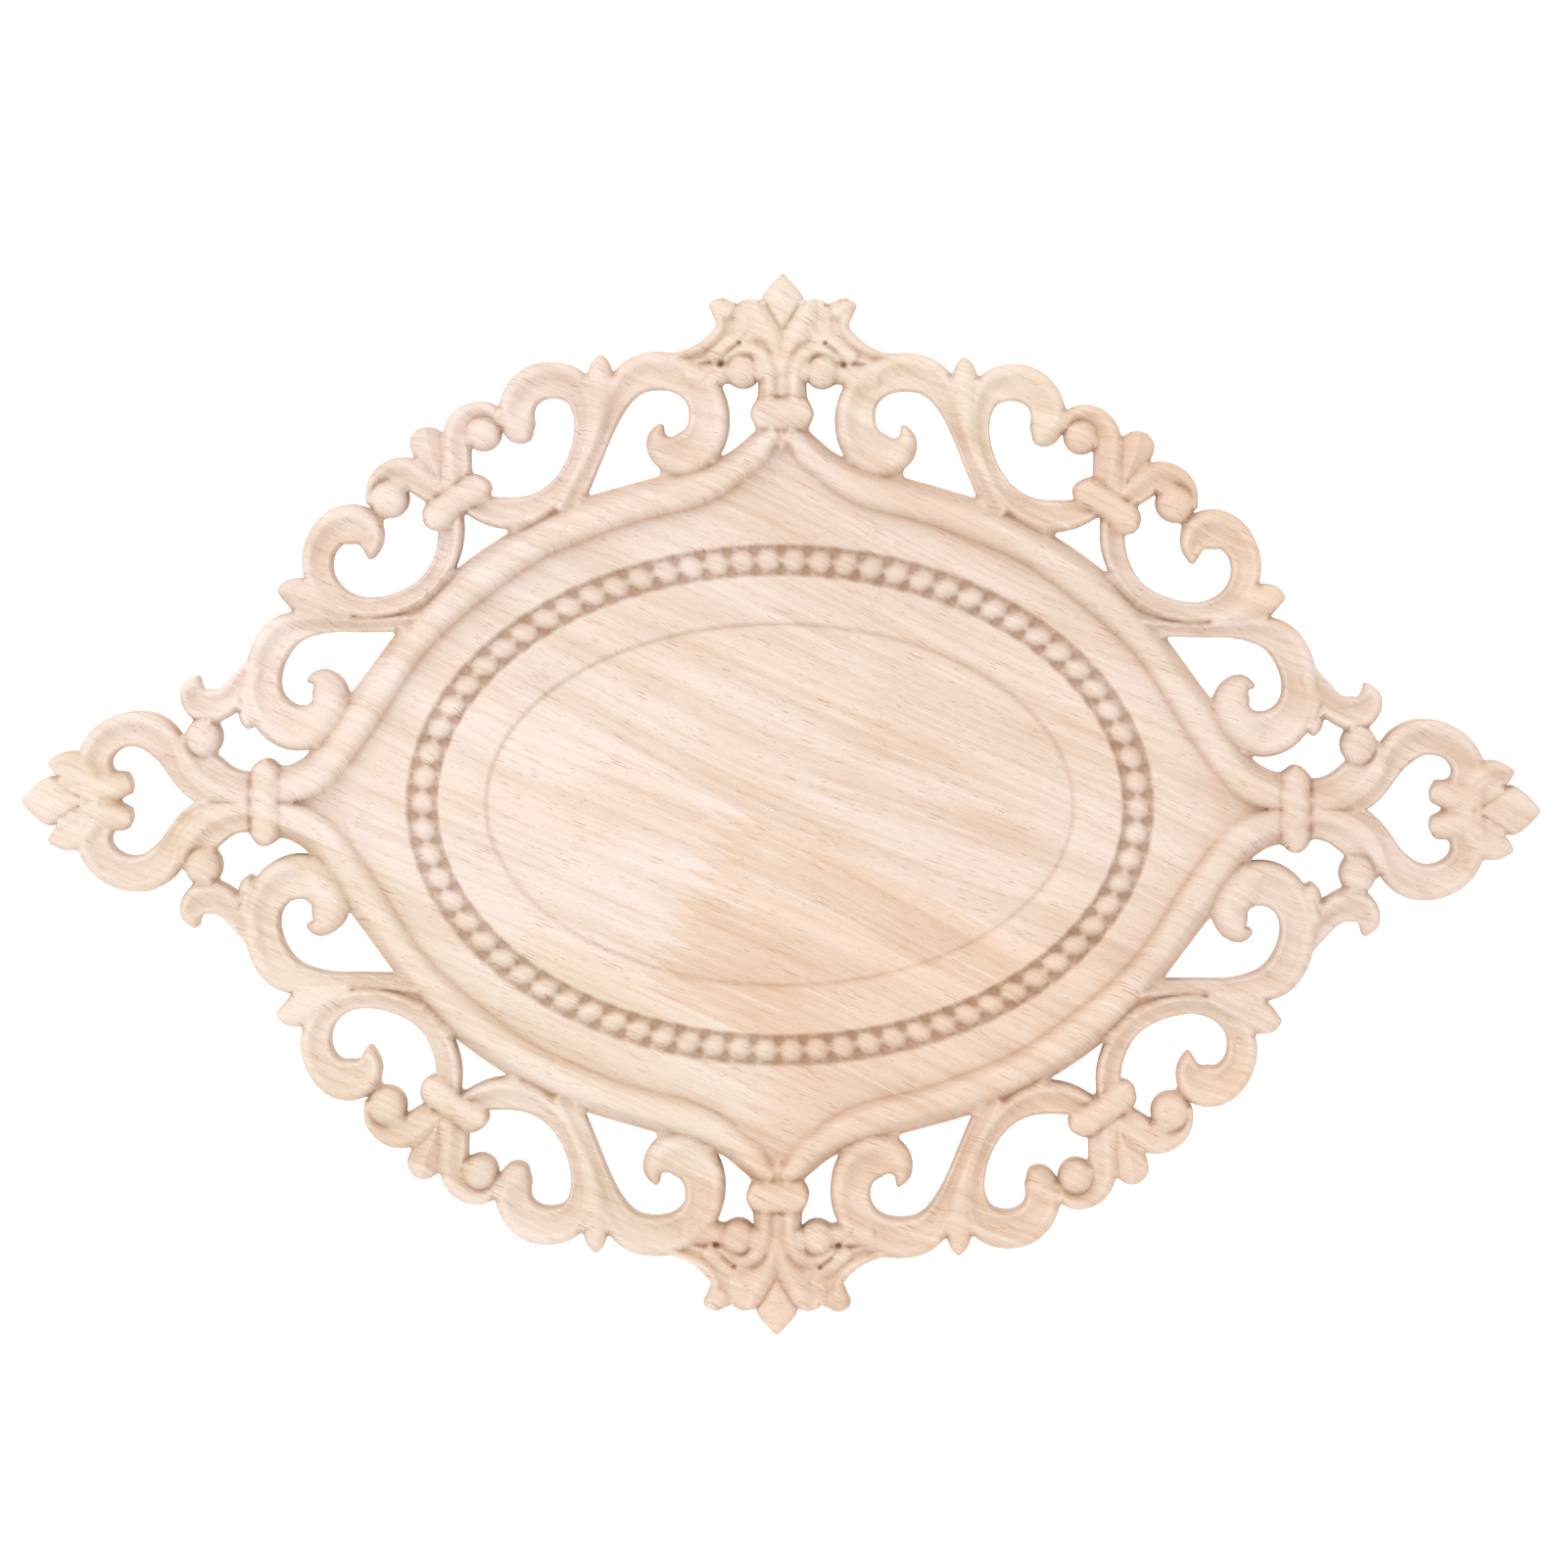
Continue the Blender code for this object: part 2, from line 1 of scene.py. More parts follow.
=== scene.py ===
"""Carved rubberwood applique: fine relief, wood finish, studio and camera.

Plan points are squares of the drawing, where the side tip is at 198.7 and the top tip
at 142.2. Heights are in millimetres over the flat back. The carved face looks to -Y.
"""
import math

import bmesh
import bpy
import numpy as np
from mathutils import Matrix, Vector
from mathutils.geometry import delaunay_2d_cdt


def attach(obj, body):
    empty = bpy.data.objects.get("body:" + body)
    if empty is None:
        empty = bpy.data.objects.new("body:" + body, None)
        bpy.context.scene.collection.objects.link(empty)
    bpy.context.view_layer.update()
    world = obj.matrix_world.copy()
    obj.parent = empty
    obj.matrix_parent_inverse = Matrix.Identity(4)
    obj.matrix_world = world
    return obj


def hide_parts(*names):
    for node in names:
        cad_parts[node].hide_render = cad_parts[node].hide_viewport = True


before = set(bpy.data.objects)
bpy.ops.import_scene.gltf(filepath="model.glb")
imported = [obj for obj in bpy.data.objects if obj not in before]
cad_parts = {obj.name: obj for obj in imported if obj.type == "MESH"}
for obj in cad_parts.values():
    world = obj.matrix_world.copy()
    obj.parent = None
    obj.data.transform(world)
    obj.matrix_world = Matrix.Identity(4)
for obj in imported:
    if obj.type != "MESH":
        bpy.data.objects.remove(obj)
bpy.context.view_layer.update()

# overall size, in metres, and squares of the drawing
LENGTH = 0.400
HEIGHT = 0.279
PLAN_HALF_X = 198.7
PLAN_HALF_Y = 142.2
SX = LENGTH / 2.0 / PLAN_HALF_X
SY = HEIGHT / 2.0 / PLAN_HALF_Y

# heights over the back, in millimetres: field, dish, channel, beads, a band's edge, the
# height at which a ball starts and how far it rises, and where nothing is carved yet
FIELD = 9.0
DISH = 7.0
CHANNEL_FLOOR = 7.2
BEAD_TOP = 10.4
EDGE = 9.5
BALL_FOOT = 10.2
BALL_RISE = 4.1
UNCUT = -9.0

# bead channel: semi-axes of its outer edge, width, beads, in millimetres
CHANNEL_A = 98.3
CHANNEL_B = 68.6
CHANNEL_WIDTH = 8.0
BEAD_COUNT = 74
BEAD_LENGTH = 6.3
BEAD_WIDTH = 5.9
# neck between two beads: its top, and how far it has fallen at NECK_HALF from its middle
NECK_HEIGHT = 8.1
NECK_FALL = 1.6
NECK_HALF = 1.3
# pockets at both sides of the neck: depth, distance from the row's middle where they
# start, width there, growth of the width outwards, steepness, and the channel's wall
PIT_DEPTH = 1.1
PIT_START = 0.7
PIT_WIDTH = 0.3
PIT_SPREAD = 0.46
PIT_STEEP = 1.8
CHANNEL_WALL = 0.5
# insets that get close rows of points
RINGS = (-0.3, 0.0, 0.25, 0.5, 7.5, 7.75, 8.0, 8.3, 20.35, 20.6, 20.9, 21.3)
# plate, from the field inwards: inset from the channel's outer edge and height
PLATE_SECTION = (
    (-3.0, FIELD), (-0.4, FIELD), (-0.1, 8.9), (0.15, 8.4), (0.4, CHANNEL_FLOOR),
    (7.6, CHANNEL_FLOOR), (7.85, 8.4), (8.1, 8.95), (8.4, 9.05), (9.1, 8.95), (14.0, 8.4),
    (19.8, 7.8), (20.3, 7.7), (20.55, 7.3), (20.8, 6.3), (21.1, 6.4), (21.5, DISH),
    (60.0, DISH))

# height map, in squares of the plan: its spacing, what it holds beyond the mirror axes and
# beyond the tips, the deepest inset that a join counts, and a gap outside every band
GRID = 0.25
MARGIN = 10.0
SPARE = 1.6
DEEPEST = 8.0
FAR = 99.0

# centre line of a band: spacing of its samples, and how many are handled at a time
STEP = 0.4
CHUNK = 24
# growth of a band over its drawn half width, and the least half width
BAND_GROWTH = 0.2
NARROWEST = 0.3
# slope of the gap past a band's end, and spread of the strips on the outside of a bend
END_SLOPE = 4.0
BEND_SPREAD = 1.2
# how far round a band, and round the roll, the foot is followed; its fall in millimetres
REACH = 2.5
ROLL_REACH = 5.0
FOOT_FALL = 1.6
# softness of a join in the outline, and round of the cutter
FILLET = 0.45
CUTTER = 0.26
# a band without a bulb, stations over which a bulb takes over, half width of full height
NO_BULB = 99.0
BULB_FADE = 1.8
FULL_HALF = 2.4
# grooves round the balls and along the roll: depth in millimetres, then width
BALL_RING = 0.9
BALL_RING_WIDTH = 0.42
ROLL_CREASE = 0.75
ROLL_CREASE_WIDTH = 0.45
# drilled eyes, in radii: their rim, their flat floor, and the rise of the wall between
EYE_RIM = 1.4
EYE_FLOOR = 0.75
EYE_WALL = 9.0

# hollows: widths of the two mean heights that the carved height is held against, weight of
# the narrow one, and how far past the outline the means look
NARROW_MEAN = 0.6
WIDE_MEAN = 1.3
NARROW_SHARE = 2.0
MEAN_EDGE = 0.3
# painted shade: depth of a hollow in millimetres that gets it in full; the sides and the
# back, nearer to the wall than SIDE_LEVEL in metres, get a small fixed share of it
FULL_SHADE_DEPTH = 2.0
SIDE_SHADE = 0.15
SIDE_LEVEL = -0.001

# outline: spacing of its points, and fewest raw points; rows inside it, their tolerance
OUTLINE_STEP = 0.8
FEWEST = 30
INSETS = (0.18, 0.45, 0.85)
INSET_ERROR = 0.12
# rows along the roll's edge, their spacing, and how far the carved points stay off them
ROLL_ROWS = (-0.4, 0.0, 0.4)
ROLL_STEP = 0.7
ROLL_CLEAR = 0.6
# rows along a fine line in half widths, round an eye and a ball in radii, their spacing or
# number, and how deep inside the outline such rows are kept
CREASE_ROWS = (-2.2, -1.1, 0.0, 1.1, 2.2)
EYE_ROWS = (0.0, 0.5, 0.8, 1.1, 1.5)
BALL_ROWS = (0.9, 1.0, 1.1)
CREASE_STEP = 0.5
EYE_POINTS = 12
BALL_POINTS = 56
RING_POINTS = 800
CREASE_INSET = 1.2
# spacing where the wood is carved and where it is even, how far both stay off the rows
# inside the outline, the roughness in millimetres up to which it is even, the distance of
# the staggered rows in spacings, and how near two points are one
FINE = 0.5
COARSE = 5.0
FINE_CLEAR = 0.25
COARSE_CLEAR = 0.6
EVEN = 0.012
ROW_RATIO = 0.866
WELD = 1e-5
# triangles of the carved face, and the angle from which an edge is sharp
FACE_TRIANGLES = 172000
SHARP = math.radians(50.0)

# cross sections from the outer edge (-1) to the inner edge (+1), heights in millimetres
SCROLL = (
    (-1.0, 9.5), (-0.97, 10.7), (-0.91, 11.7), (-0.82, 12.4), (-0.68, 12.9), (-0.52, 13.05),
    (-0.38, 12.8), (-0.25, 12.2), (-0.12, 11.5), (0.03, 10.9), (0.19, 10.6), (0.35, 10.65),
    (0.47, 10.9), (0.52, 11.05), (0.55, 10.55), (0.59, 11.2), (0.7, 11.55), (0.8, 11.5),
    (0.89, 11.2), (0.96, 10.6), (1.0, 9.7))
BULB = (
    (-1.0, 9.5), (-0.97, 10.6), (-0.91, 11.5), (-0.82, 12.1), (-0.78, 11.9), (-0.72, 12.4),
    (-0.5, 13.3), (-0.25, 13.8), (0.0, 13.95), (0.25, 13.8), (0.5, 13.3), (0.7, 12.6),
    (0.83, 11.9), (0.93, 11.0), (1.0, 9.5))
ROUND = (
    (-1.0, 9.5), (-0.96, 10.8), (-0.88, 11.9), (-0.76, 12.8), (-0.55, 13.6), (-0.3, 14.0),
    (0.0, 14.2), (0.3, 14.0), (0.55, 13.6), (0.76, 12.8), (0.88, 11.9), (0.96, 10.8), (1.0, 9.5))
ROLL = (
    (-1.0, 9.4), (-0.97, 10.8), (-0.91, 11.9), (-0.82, 12.8), (-0.68, 13.5), (-0.5, 13.9),
    (-0.28, 14.0), (-0.05, 13.95), (0.18, 13.75), (0.34, 13.3), (0.46, 12.5), (0.64, 11.2),
    (0.82, 9.8), (0.95, 8.7), (1.0, 8.3))
RIDGE = (
    (-1.0, 9.2), (-0.94, 10.2), (-0.8, 11.0), (-0.55, 11.7), (-0.3, 12.5), (-0.12, 13.4),
    (0.0, 13.9), (0.12, 13.4), (0.3, 12.5), (0.55, 11.7), (0.8, 11.0), (0.94, 10.2), (1.0, 9.2))
WRAP = (
    (-1.0, 10.0), (-0.96, 11.6), (-0.88, 12.8), (-0.75, 13.8), (-0.5, 14.6), (-0.2, 14.95),
    (0.0, 15.0), (0.2, 14.95), (0.5, 14.6), (0.75, 13.8), (0.88, 12.8), (0.96, 11.6), (1.0, 10.0))
FLUTE = (
    (-1.0, 9.4), (-0.94, 10.8), (-0.78, 11.8), (-0.6, 12.1), (-0.45, 11.4), (-0.36, 10.5),
    (-0.26, 11.3), (-0.12, 11.9), (0.0, 12.0), (0.12, 11.9), (0.26, 11.3), (0.36, 10.5),
    (0.45, 11.4), (0.6, 12.1), (0.78, 11.8), (0.94, 10.8), (1.0, 9.4))
LEAF = (
    (-1.0, 9.5), (-0.93, 10.7), (-0.8, 11.5), (-0.55, 12.1), (-0.25, 12.5), (0.0, 12.7),
    (0.25, 12.5), (0.55, 12.1), (0.8, 11.5), (0.93, 10.7), (1.0, 9.5))
WEB = ((-1.0, 9.2), (0.0, 10.2), (1.0, 9.2))
LOBE = (
    (-1.0, 9.4), (-0.95, 10.8), (-0.85, 11.9), (-0.68, 12.8), (-0.45, 13.2), (-0.2, 13.0),
    (0.05, 12.2), (0.3, 11.4), (0.5, 11.2), (0.68, 11.6), (0.82, 11.9), (0.92, 11.2), (1.0, 9.4))

# bands of one quarter: side of the rim as one travels along it (left +1, right -1),
# section, station where the bulb begins, and centre line with half widths
BANDS = {
    "crest_scroll": (-1, SCROLL, 9.6, (
        (56.5, 78.5, 3.0), (52.3, 86.8, 2.5), (48.0, 97.2, 2.4), (44.2, 107.2, 3.3),
        (38.0, 115.0, 4.7), (32.0, 116.3, 5.0), (25.2, 114.6, 4.8), (20.2, 109.4, 4.8),
        (19.1, 102.5, 5.1), (21.2, 96.9, 5.5), (26.6, 94.0, 5.4), (31.2, 95.6, 3.9),
        (32.6, 98.6, 2.3), (31.6, 101.8, 0.5))),
    "shoulder_scroll": (1, SCROLL, 11.0, (
        (83.0, 81.0, 2.0), (76.5, 78.7, 3.6), (70.0, 78.1, 4.0), (63.5, 80.1, 3.3),
        (57.5, 85.4, 2.5), (53.6, 93.0, 2.0), (51.8, 100.5, 2.2), (52.0, 106.6, 2.9),
        (54.2, 111.6, 4.2), (59.4, 113.7, 4.7), (65.0, 112.5, 4.7), (68.6, 108.6, 4.4),
        (69.4, 103.5, 4.3), (68.6, 100.9, 4.0), (67.4, 98.9, 3.0), (66.4, 97.9, 1.4))),
    "flank_scroll": (-1, SCROLL, 11.6, (
        (86.8, 79.5, 2.8), (86.4, 72.0, 3.0), (88.2, 64.6, 2.8), (93.0, 57.8, 2.6),
        (100.5, 53.7, 2.6), (109.3, 52.6, 2.4), (116.0, 54.8, 2.8), (120.6, 60.2, 3.4),
        (121.3, 65.8, 3.7), (119.2, 71.2, 4.1), (114.2, 74.7, 5.0), (109.6, 73.7, 4.9),
        (107.3, 70.2, 3.0), (107.2, 67.2, 1.4), (107.3, 65.7, 0.4))),
    "side_scroll": (1, SCROLL, 10.2, (
        (94.5, 48.8, 2.2), (104.0, 48.0, 1.8), (111.0, 47.9, 1.8), (117.3, 48.1, 2.1),
        (123.6, 47.9, 3.3), (129.6, 46.0, 4.4), (133.6, 41.0, 4.6), (135.4, 35.2, 4.4),
        (135.3, 29.0, 4.5), (133.2, 24.0, 5.2), (129.0, 20.6, 5.7), (124.6, 20.1, 5.7),
        (120.4, 22.5, 4.9), (117.8, 27.2, 4.4), (118.6, 31.2, 4.0), (121.0, 33.4, 2.2),
        (123.5, 32.8, 0.4))),
    "side_curl": (-1, SCROLL, 5.0, (
        (137.6, 36.2, 2.4), (140.7, 31.4, 3.4), (143.8, 28.0, 3.5), (147.2, 26.0, 4.0),
        (150.8, 25.8, 4.3), (153.6, 28.0, 3.2), (153.9, 30.8, 2.4), (153.4, 32.4, 1.3),
        (152.8, 33.6, 0.4))),
    "heart_inner": (-1, SCROLL, NO_BULB, (
        (134.0, 4.4, 3.6), (141.0, 4.5, 3.4), (145.4, 5.7, 3.7), (150.0, 8.9, 4.0),
        (153.6, 13.0, 3.0), (155.0, 16.0, 1.9), (155.2, 18.2, 0.8))),
    "heart_outer": (1, SCROLL, 10.0, (
        (134.0, -0.4, 1.2), (143.0, -0.2, 1.4), (149.3, 0.9, 2.1), (154.2, 4.2, 2.5),
        (157.9, 9.0, 2.6), (160.4, 14.6, 4.2), (165.6, 19.0, 4.7), (170.6, 19.4, 4.4),
        (175.3, 17.6, 4.2), (178.9, 13.6, 4.0), (179.9, 9.0, 4.3), (179.0, 4.0, 5.2),
        (178.6, -2.0, 4.4))),
    "heart_point": (1, BULB, NO_BULB, (
        (182.0, 1.6, 3.4), (176.6, 3.2, 4.2), (173.4, 4.3, 3.4), (171.9, 4.6, 3.1),
        (170.8, 4.8, 2.8))),
    "tip_lobe": (1, LOBE, NO_BULB, (
        (180.0, 4.0, 3.0), (184.4, 8.2, 4.6), (187.3, 9.6, 3.7), (189.7, 10.2, 2.2),
        (191.2, 10.6, 0.6))),
    "flank_curl_low": (1, LOBE, NO_BULB, (
        (87.5, 81.5, 2.6), (90.6, 83.6, 3.2), (93.8, 86.0, 3.6), (97.2, 88.6, 3.7),
        (100.5, 89.3, 3.2), (103.6, 88.3, 2.5), (106.0, 86.0, 1.9), (107.0, 83.2, 1.4),
        (107.2, 80.4, 1.0))),
    "flank_curl_high": (-1, LOBE, NO_BULB, (
        (84.2, 82.0, 2.6), (84.6, 88.0, 3.1), (85.0, 94.0, 3.4), (85.0, 99.0, 3.3),
        (83.2, 103.2, 2.9), (79.6, 105.2, 2.5), (76.2, 104.4, 2.4), (74.6, 102.2, 1.4))),
    "flank_leaf": (1, RIDGE, NO_BULB, (
        (88.6, 84.0, 0.8), (89.6, 88.0, 1.8), (91.0, 92.0, 3.4), (92.3, 95.6, 4.3),
        (92.8, 98.3, 4.1), (93.0, 100.2, 2.4))),
    "crest_bud": (1, ROUND, NO_BULB, (
        (51.5, 90.0, 0.6), (49.3, 98.0, 1.6), (48.0, 105.0, 2.8), (47.6, 110.5, 3.5),
        (47.6, 114.2, 3.3), (47.6, 117.2, 2.5), (47.5, 119.2, 1.5), (47.5, 120.3, 0.4))),
    "side_bud": (1, ROUND, NO_BULB, (
        (112.5, 50.4, 0.6), (117.5, 51.9, 2.3), (122.0, 53.9, 3.9), (125.6, 55.8, 4.3),
        (128.4, 56.7, 3.3), (130.2, 56.8, 2.0), (131.2, 56.8, 0.6))),
    "thorn": (1, ROUND, NO_BULB, (
        (139.0, 30.5, 0.8), (139.8, 26.2, 1.6), (139.5, 23.0, 1.8), (139.1, 21.0, 1.3),
        (139.0, 19.9, 0.4))),
    "crown_curl": (1, ROUND, NO_BULB, (
        (3.4, 107.5, 1.8), (3.2, 113.0, 1.8), (4.0, 118.0, 2.1), (6.0, 120.9, 2.1),
        (9.2, 122.1, 1.6), (12.4, 121.0, 1.4), (14.6, 119.4, 0.9))),
    "crown_lobe": (1, LOBE, NO_BULB, (
        (1.2, 116.0, 2.4), (3.6, 122.0, 4.2), (6.4, 127.2, 4.8), (8.0, 131.0, 4.1),
        (8.3, 133.6, 3.3), (8.3, 134.9, 2.6))),
    "crown_wing": (-1, SCROLL, NO_BULB, (
        (29.0, 119.0, 1.4), (20.8, 121.2, 2.6), (16.0, 124.6, 3.2), (14.2, 128.3, 2.9),
        (14.6, 131.1, 3.0), (15.3, 133.2, 3.1), (15.5, 134.3, 2.7), (15.4, 135.1, 1.9))),
    "crown_beak": (1, ROUND, NO_BULB, (
        (14.0, 131.6, 2.0), (16.2, 133.2, 1.7), (18.0, 133.9, 1.1), (19.0, 134.0, 0.4))),
    "crown_cheek": (1, LEAF, NO_BULB, (
        (8.0, 122.4, 2.4), (11.5, 123.9, 3.2), (15.0, 122.4, 3.0), (18.5, 119.8, 2.2))),
    "crown_bridge": (1, LEAF, NO_BULB, (
        (12.0, 116.4, 2.2), (16.0, 115.6, 2.6), (19.5, 115.2, 2.8), (24.5, 115.0, 3.0))),
    "tie": (1, WRAP, NO_BULB, (
        (76.6, 85.4, 1.4), (77.8, 85.0, 3.0), (80.2, 84.1, 4.1), (84.4, 81.6, 3.4),
        (88.2, 78.7, 4.0), (90.4, 76.1, 3.7), (91.3, 74.2, 1.8))),
}

# bands that lie on an axis of the plan: section, centre line with half widths
CROSS_BANDS = {
    "crown_petal": (LEAF, (
        (0.0, 126.0, 0.3), (0.0, 128.8, 2.2), (0.0, 133.0, 4.6), (0.0, 135.4, 5.3),
        (0.0, 137.8, 4.2), (0.0, 140.2, 2.2), (0.0, 142.0, 0.5))),
    "crown_stem": (FLUTE, (
        (0.0, 106.0, 5.7), (0.0, 112.6, 5.9), (0.0, 118.0, 4.4), (0.0, 122.0, 3.0),
        (0.0, 125.0, 1.2))),
    "crown_foot": (LEAF, (
        (0.0, 102.5, 4.0), (0.0, 99.4, 2.9), (0.0, 97.6, 1.6), (0.0, 95.4, 0.4))),
    "tip_petal": (LEAF, (
        (180.5, 0.0, 0.3), (185.0, 0.0, 3.2), (189.5, 0.0, 6.0), (191.8, 0.0, 6.3),
        (194.2, 0.0, 4.8), (196.6, 0.0, 2.5), (198.2, 0.0, 0.5))),
    "crown_collar": (WRAP, (
        (-7.5, 105.0, 2.0), (-6.5, 105.0, 3.7), (-4.0, 105.0, 4.1), (0.0, 105.0, 4.2),
        (4.0, 105.0, 4.1), (6.5, 105.0, 3.7), (7.5, 105.0, 2.0))),
    "side_collar": (WRAP, (
        (134.7, -11.0, 1.7), (134.7, -9.8, 3.0), (134.7, -6.0, 3.5), (134.7, 0.0, 3.6),
        (134.7, 6.0, 3.5), (134.7, 9.8, 3.0), (134.7, 11.0, 1.7))),
}

# balls held in the curls: place and radii, in millimetres
BALLS = ((78.0, 99.2, 4.5, 4.7), (102.6, 81.6, 5.0, 5.2), (151.0, 17.3, 4.7, 5.2),
         (10.3, 116.3, 4.4, 4.7))

# drilled eyes: place, radius and floor height, in millimetres
EYES = ((11.3, 124.0, 0.5, 9.6), (16.0, 118.2, 0.8, 8.4))

# frame roll of one quarter: outer edge and inner groove, rung by rung, and how much
# further out the carved edge stands
ROLL_GROWTH = 0.9
ROLL_RUNGS = (
    (4.0, 102.0, 0.2, 97.8), (6.0, 100.2, 2.3, 96.1), (9.0, 97.5, 4.2, 92.2),
    (11.9, 94.9, 7.0, 89.7), (22.0, 90.0, 17.5, 82.4), (32.0, 87.2, 29.5, 78.5),
    (44.0, 83.8, 41.0, 75.3), (54.0, 80.5, 50.5, 71.6), (66.0, 74.8, 61.5, 66.8),
    (75.0, 69.3, 70.5, 61.0),
    (84.0, 62.5, 78.5, 54.7), (92.0, 54.5, 86.5, 47.8), (100.0, 45.0, 93.5, 40.4),
    (108.0, 34.0, 101.0, 29.2), (114.0, 25.5, 107.0, 19.5), (120.0, 16.0, 113.0, 10.7),
    (126.0, 10.2, 119.5, 3.3), (131.3, 8.2, 127.0, 0.3), (135.5, 8.0, 135.0, -0.8))

# low webs left standing between neighbouring bands: points and half widths
WEBS = (
    ((71.5, 74.2, 0.8), (64.0, 77.8, 1.6), (56.0, 81.0, 2.2)),
    ((104.2, 79.4, 1.6), (105.8, 77.4, 1.6), (107.2, 75.4, 1.4)),
    ((20.0, 91.0, 2.4), (26.0, 89.6, 2.4), (31.0, 88.4, 1.9)),
    ((90.0, 53.0, 1.6), (100.0, 50.7, 1.6), (108.0, 50.2, 1.5), (114.5, 50.5, 1.2)),
    ((9.0, 121.5, 4.0), (13.0, 120.0, 4.0), (17.0, 118.6, 3.4), (22.0, 117.0, 2.6)),
)

# fine carved lines, from the crown to the tie, the heart and the side curl: points,
# depth in millimetres, half width
CUTS = (
    (((16.0, 118.2), (19.5, 118.6), (23.5, 118.2)), 0.6, 0.4),
    (((16.0, 118.0), (18.3, 116.0), (20.5, 113.4)), 0.8, 0.45),
    (((11.3, 124.0), (13.6, 121.9), (15.9, 119.3)), 0.9, 0.4),
    (((11.3, 124.0), (9.4, 126.2), (8.6, 129.4)), 0.5, 0.5),
    (((27.0, 119.4), (20.6, 121.3), (16.6, 124.7), (14.7, 128.4), (14.9, 131.4)),
     0.6, 0.45),
    (((13.6, 119.6), (11.0, 120.6), (7.9, 120.0), (6.2, 118.0), (5.5, 114.6)), 0.5, 0.4),
    (((14.6, 121.6), (12.2, 123.0), (8.6, 124.2), (5.2, 123.6), (2.8, 121.0)), 0.9, 0.5),
    (((0.0, 109.5), (4.0, 109.5), (6.2, 109.0)), 1.1, 0.45),
    (((0.0, 100.6), (4.0, 100.6), (6.4, 100.9)), 0.9, 0.45),
    (((130.9, 0.0), (130.9, 5.0), (131.4, 9.4)), 1.0, 0.45),
    (((138.6, 0.0), (138.6, 5.0), (138.1, 9.4)), 1.0, 0.45),
    (((0.1, 126.9), (2.3, 130.4), (4.8, 134.1)), 1.6, 0.5),
    (((90.4, 82.0), (86.6, 84.6), (81.5, 88.3)), 1.1, 0.45),
    (((87.4, 74.6), (82.2, 78.6), (77.9, 81.6)), 1.1, 0.45),
    (((141.8, 29.0), (140.6, 26.8), (139.8, 24.2)), 1.3, 0.4),
    (((0.0, 127.6), (0.6, 129.6), (0.9, 131.6)), 0.5, 0.4),
    (((11.5, 134.4), (11.4, 131.0), (10.6, 127.6)), 0.9, 0.5),
    (((0.0, 100.0), (0.0, 97.0), (0.0, 93.5)), 0.4, 0.45),
    (((181.0, 0.3), (185.5, 2.8), (190.6, 6.6)), 1.0, 0.45),
    (((181.5, 7.0), (185.0, 9.2), (189.0, 10.2)), 0.6, 0.4),
    (((171.2, 0.3), (174.0, 0.6), (177.5, 0.6)), 1.0, 0.5),
    (((141.0, 31.5), (143.6, 28.9), (146.6, 27.4), (149.0, 27.2), (151.5, 28.2)), 0.5, 0.35),
)

# the board: direction of the grain, glued strips, finger joints, lean and wander of the
# grain, strength of the vessels; lengths in millimetres
GRAIN_ANGLE = math.radians(24.0)
STRIP_WIDTH = 53.0
STRIP_START = -111.5
STRIP_SHIFT = 37.3
FINGER_PITCH = 4.2
FINGER_LENGTH = 11.0
GRAIN_LEAN = 0.3
GRAIN_WANDER = 9.0
VESSEL_SHARE = 0.85
SHORTS_SHIFT = 431.0
CREAM = (0.705, 0.610, 0.560, 1.0)
PEACH = (0.670, 0.535, 0.445, 1.0)
PINK = (0.685, 0.585, 0.530, 1.0)
TAN = (0.665, 0.555, 0.490, 1.0)
STRAW = (0.685, 0.588, 0.512, 1.0)
# strips from the lower left: place of the joint along the grain, tones before and after it
BOARDS = ((27.0, STRAW, PEACH), (-11.0, CREAM, PEACH), (9.0, PINK, TAN), (-43.0, PINK, TAN))
STREAK_TONE = (0.93, 0.90, 0.86, 1.0)
WARM_TONE = (0.97, 0.93, 0.88, 1.0)
LINE_TONE = (0.93, 0.88, 0.82, 1.0)
PALE_TONE = (0.73, 0.65, 0.58, 1.0)
FIBRE_TONE = (0.94, 0.91, 0.88, 1.0)
PORE_TONE = (0.36, 0.19, 0.11, 1.0)
# painted shade: tints that darken and brown the hollows and, deeper, the pits
HOLLOW_SHADE_TONE = (0.955, 0.905, 0.86, 1.0)
PIT_SHADE_TONE = (0.97, 0.91, 0.85, 1.0)

# room, lamp and floor; places in metres
ROOM_LIGHT = 1.3
KEY_PLACE = (-0.9, -1.5, 1.4)
KEY_SIZE = 1.2
KEY_POWER = 12.5
FLOOR_LEVEL = -0.45
FLOOR_REACH = 6.0
FLOOR_TONE = (0.96, 0.96, 0.96, 1.0)

# camera: degrees, metres, lens and sensor in millimetres
VIEW_AZIMUTH = 1.2
VIEW_ELEVATION = 2.6
VIEW_ROLL = 0.318
VIEW_DISTANCE = 2.0
VIEW_LENS = 174.6
VIEW_SENSOR = 36.0
VIEW_AIM = (0.0011, -0.0100, 0.0058)


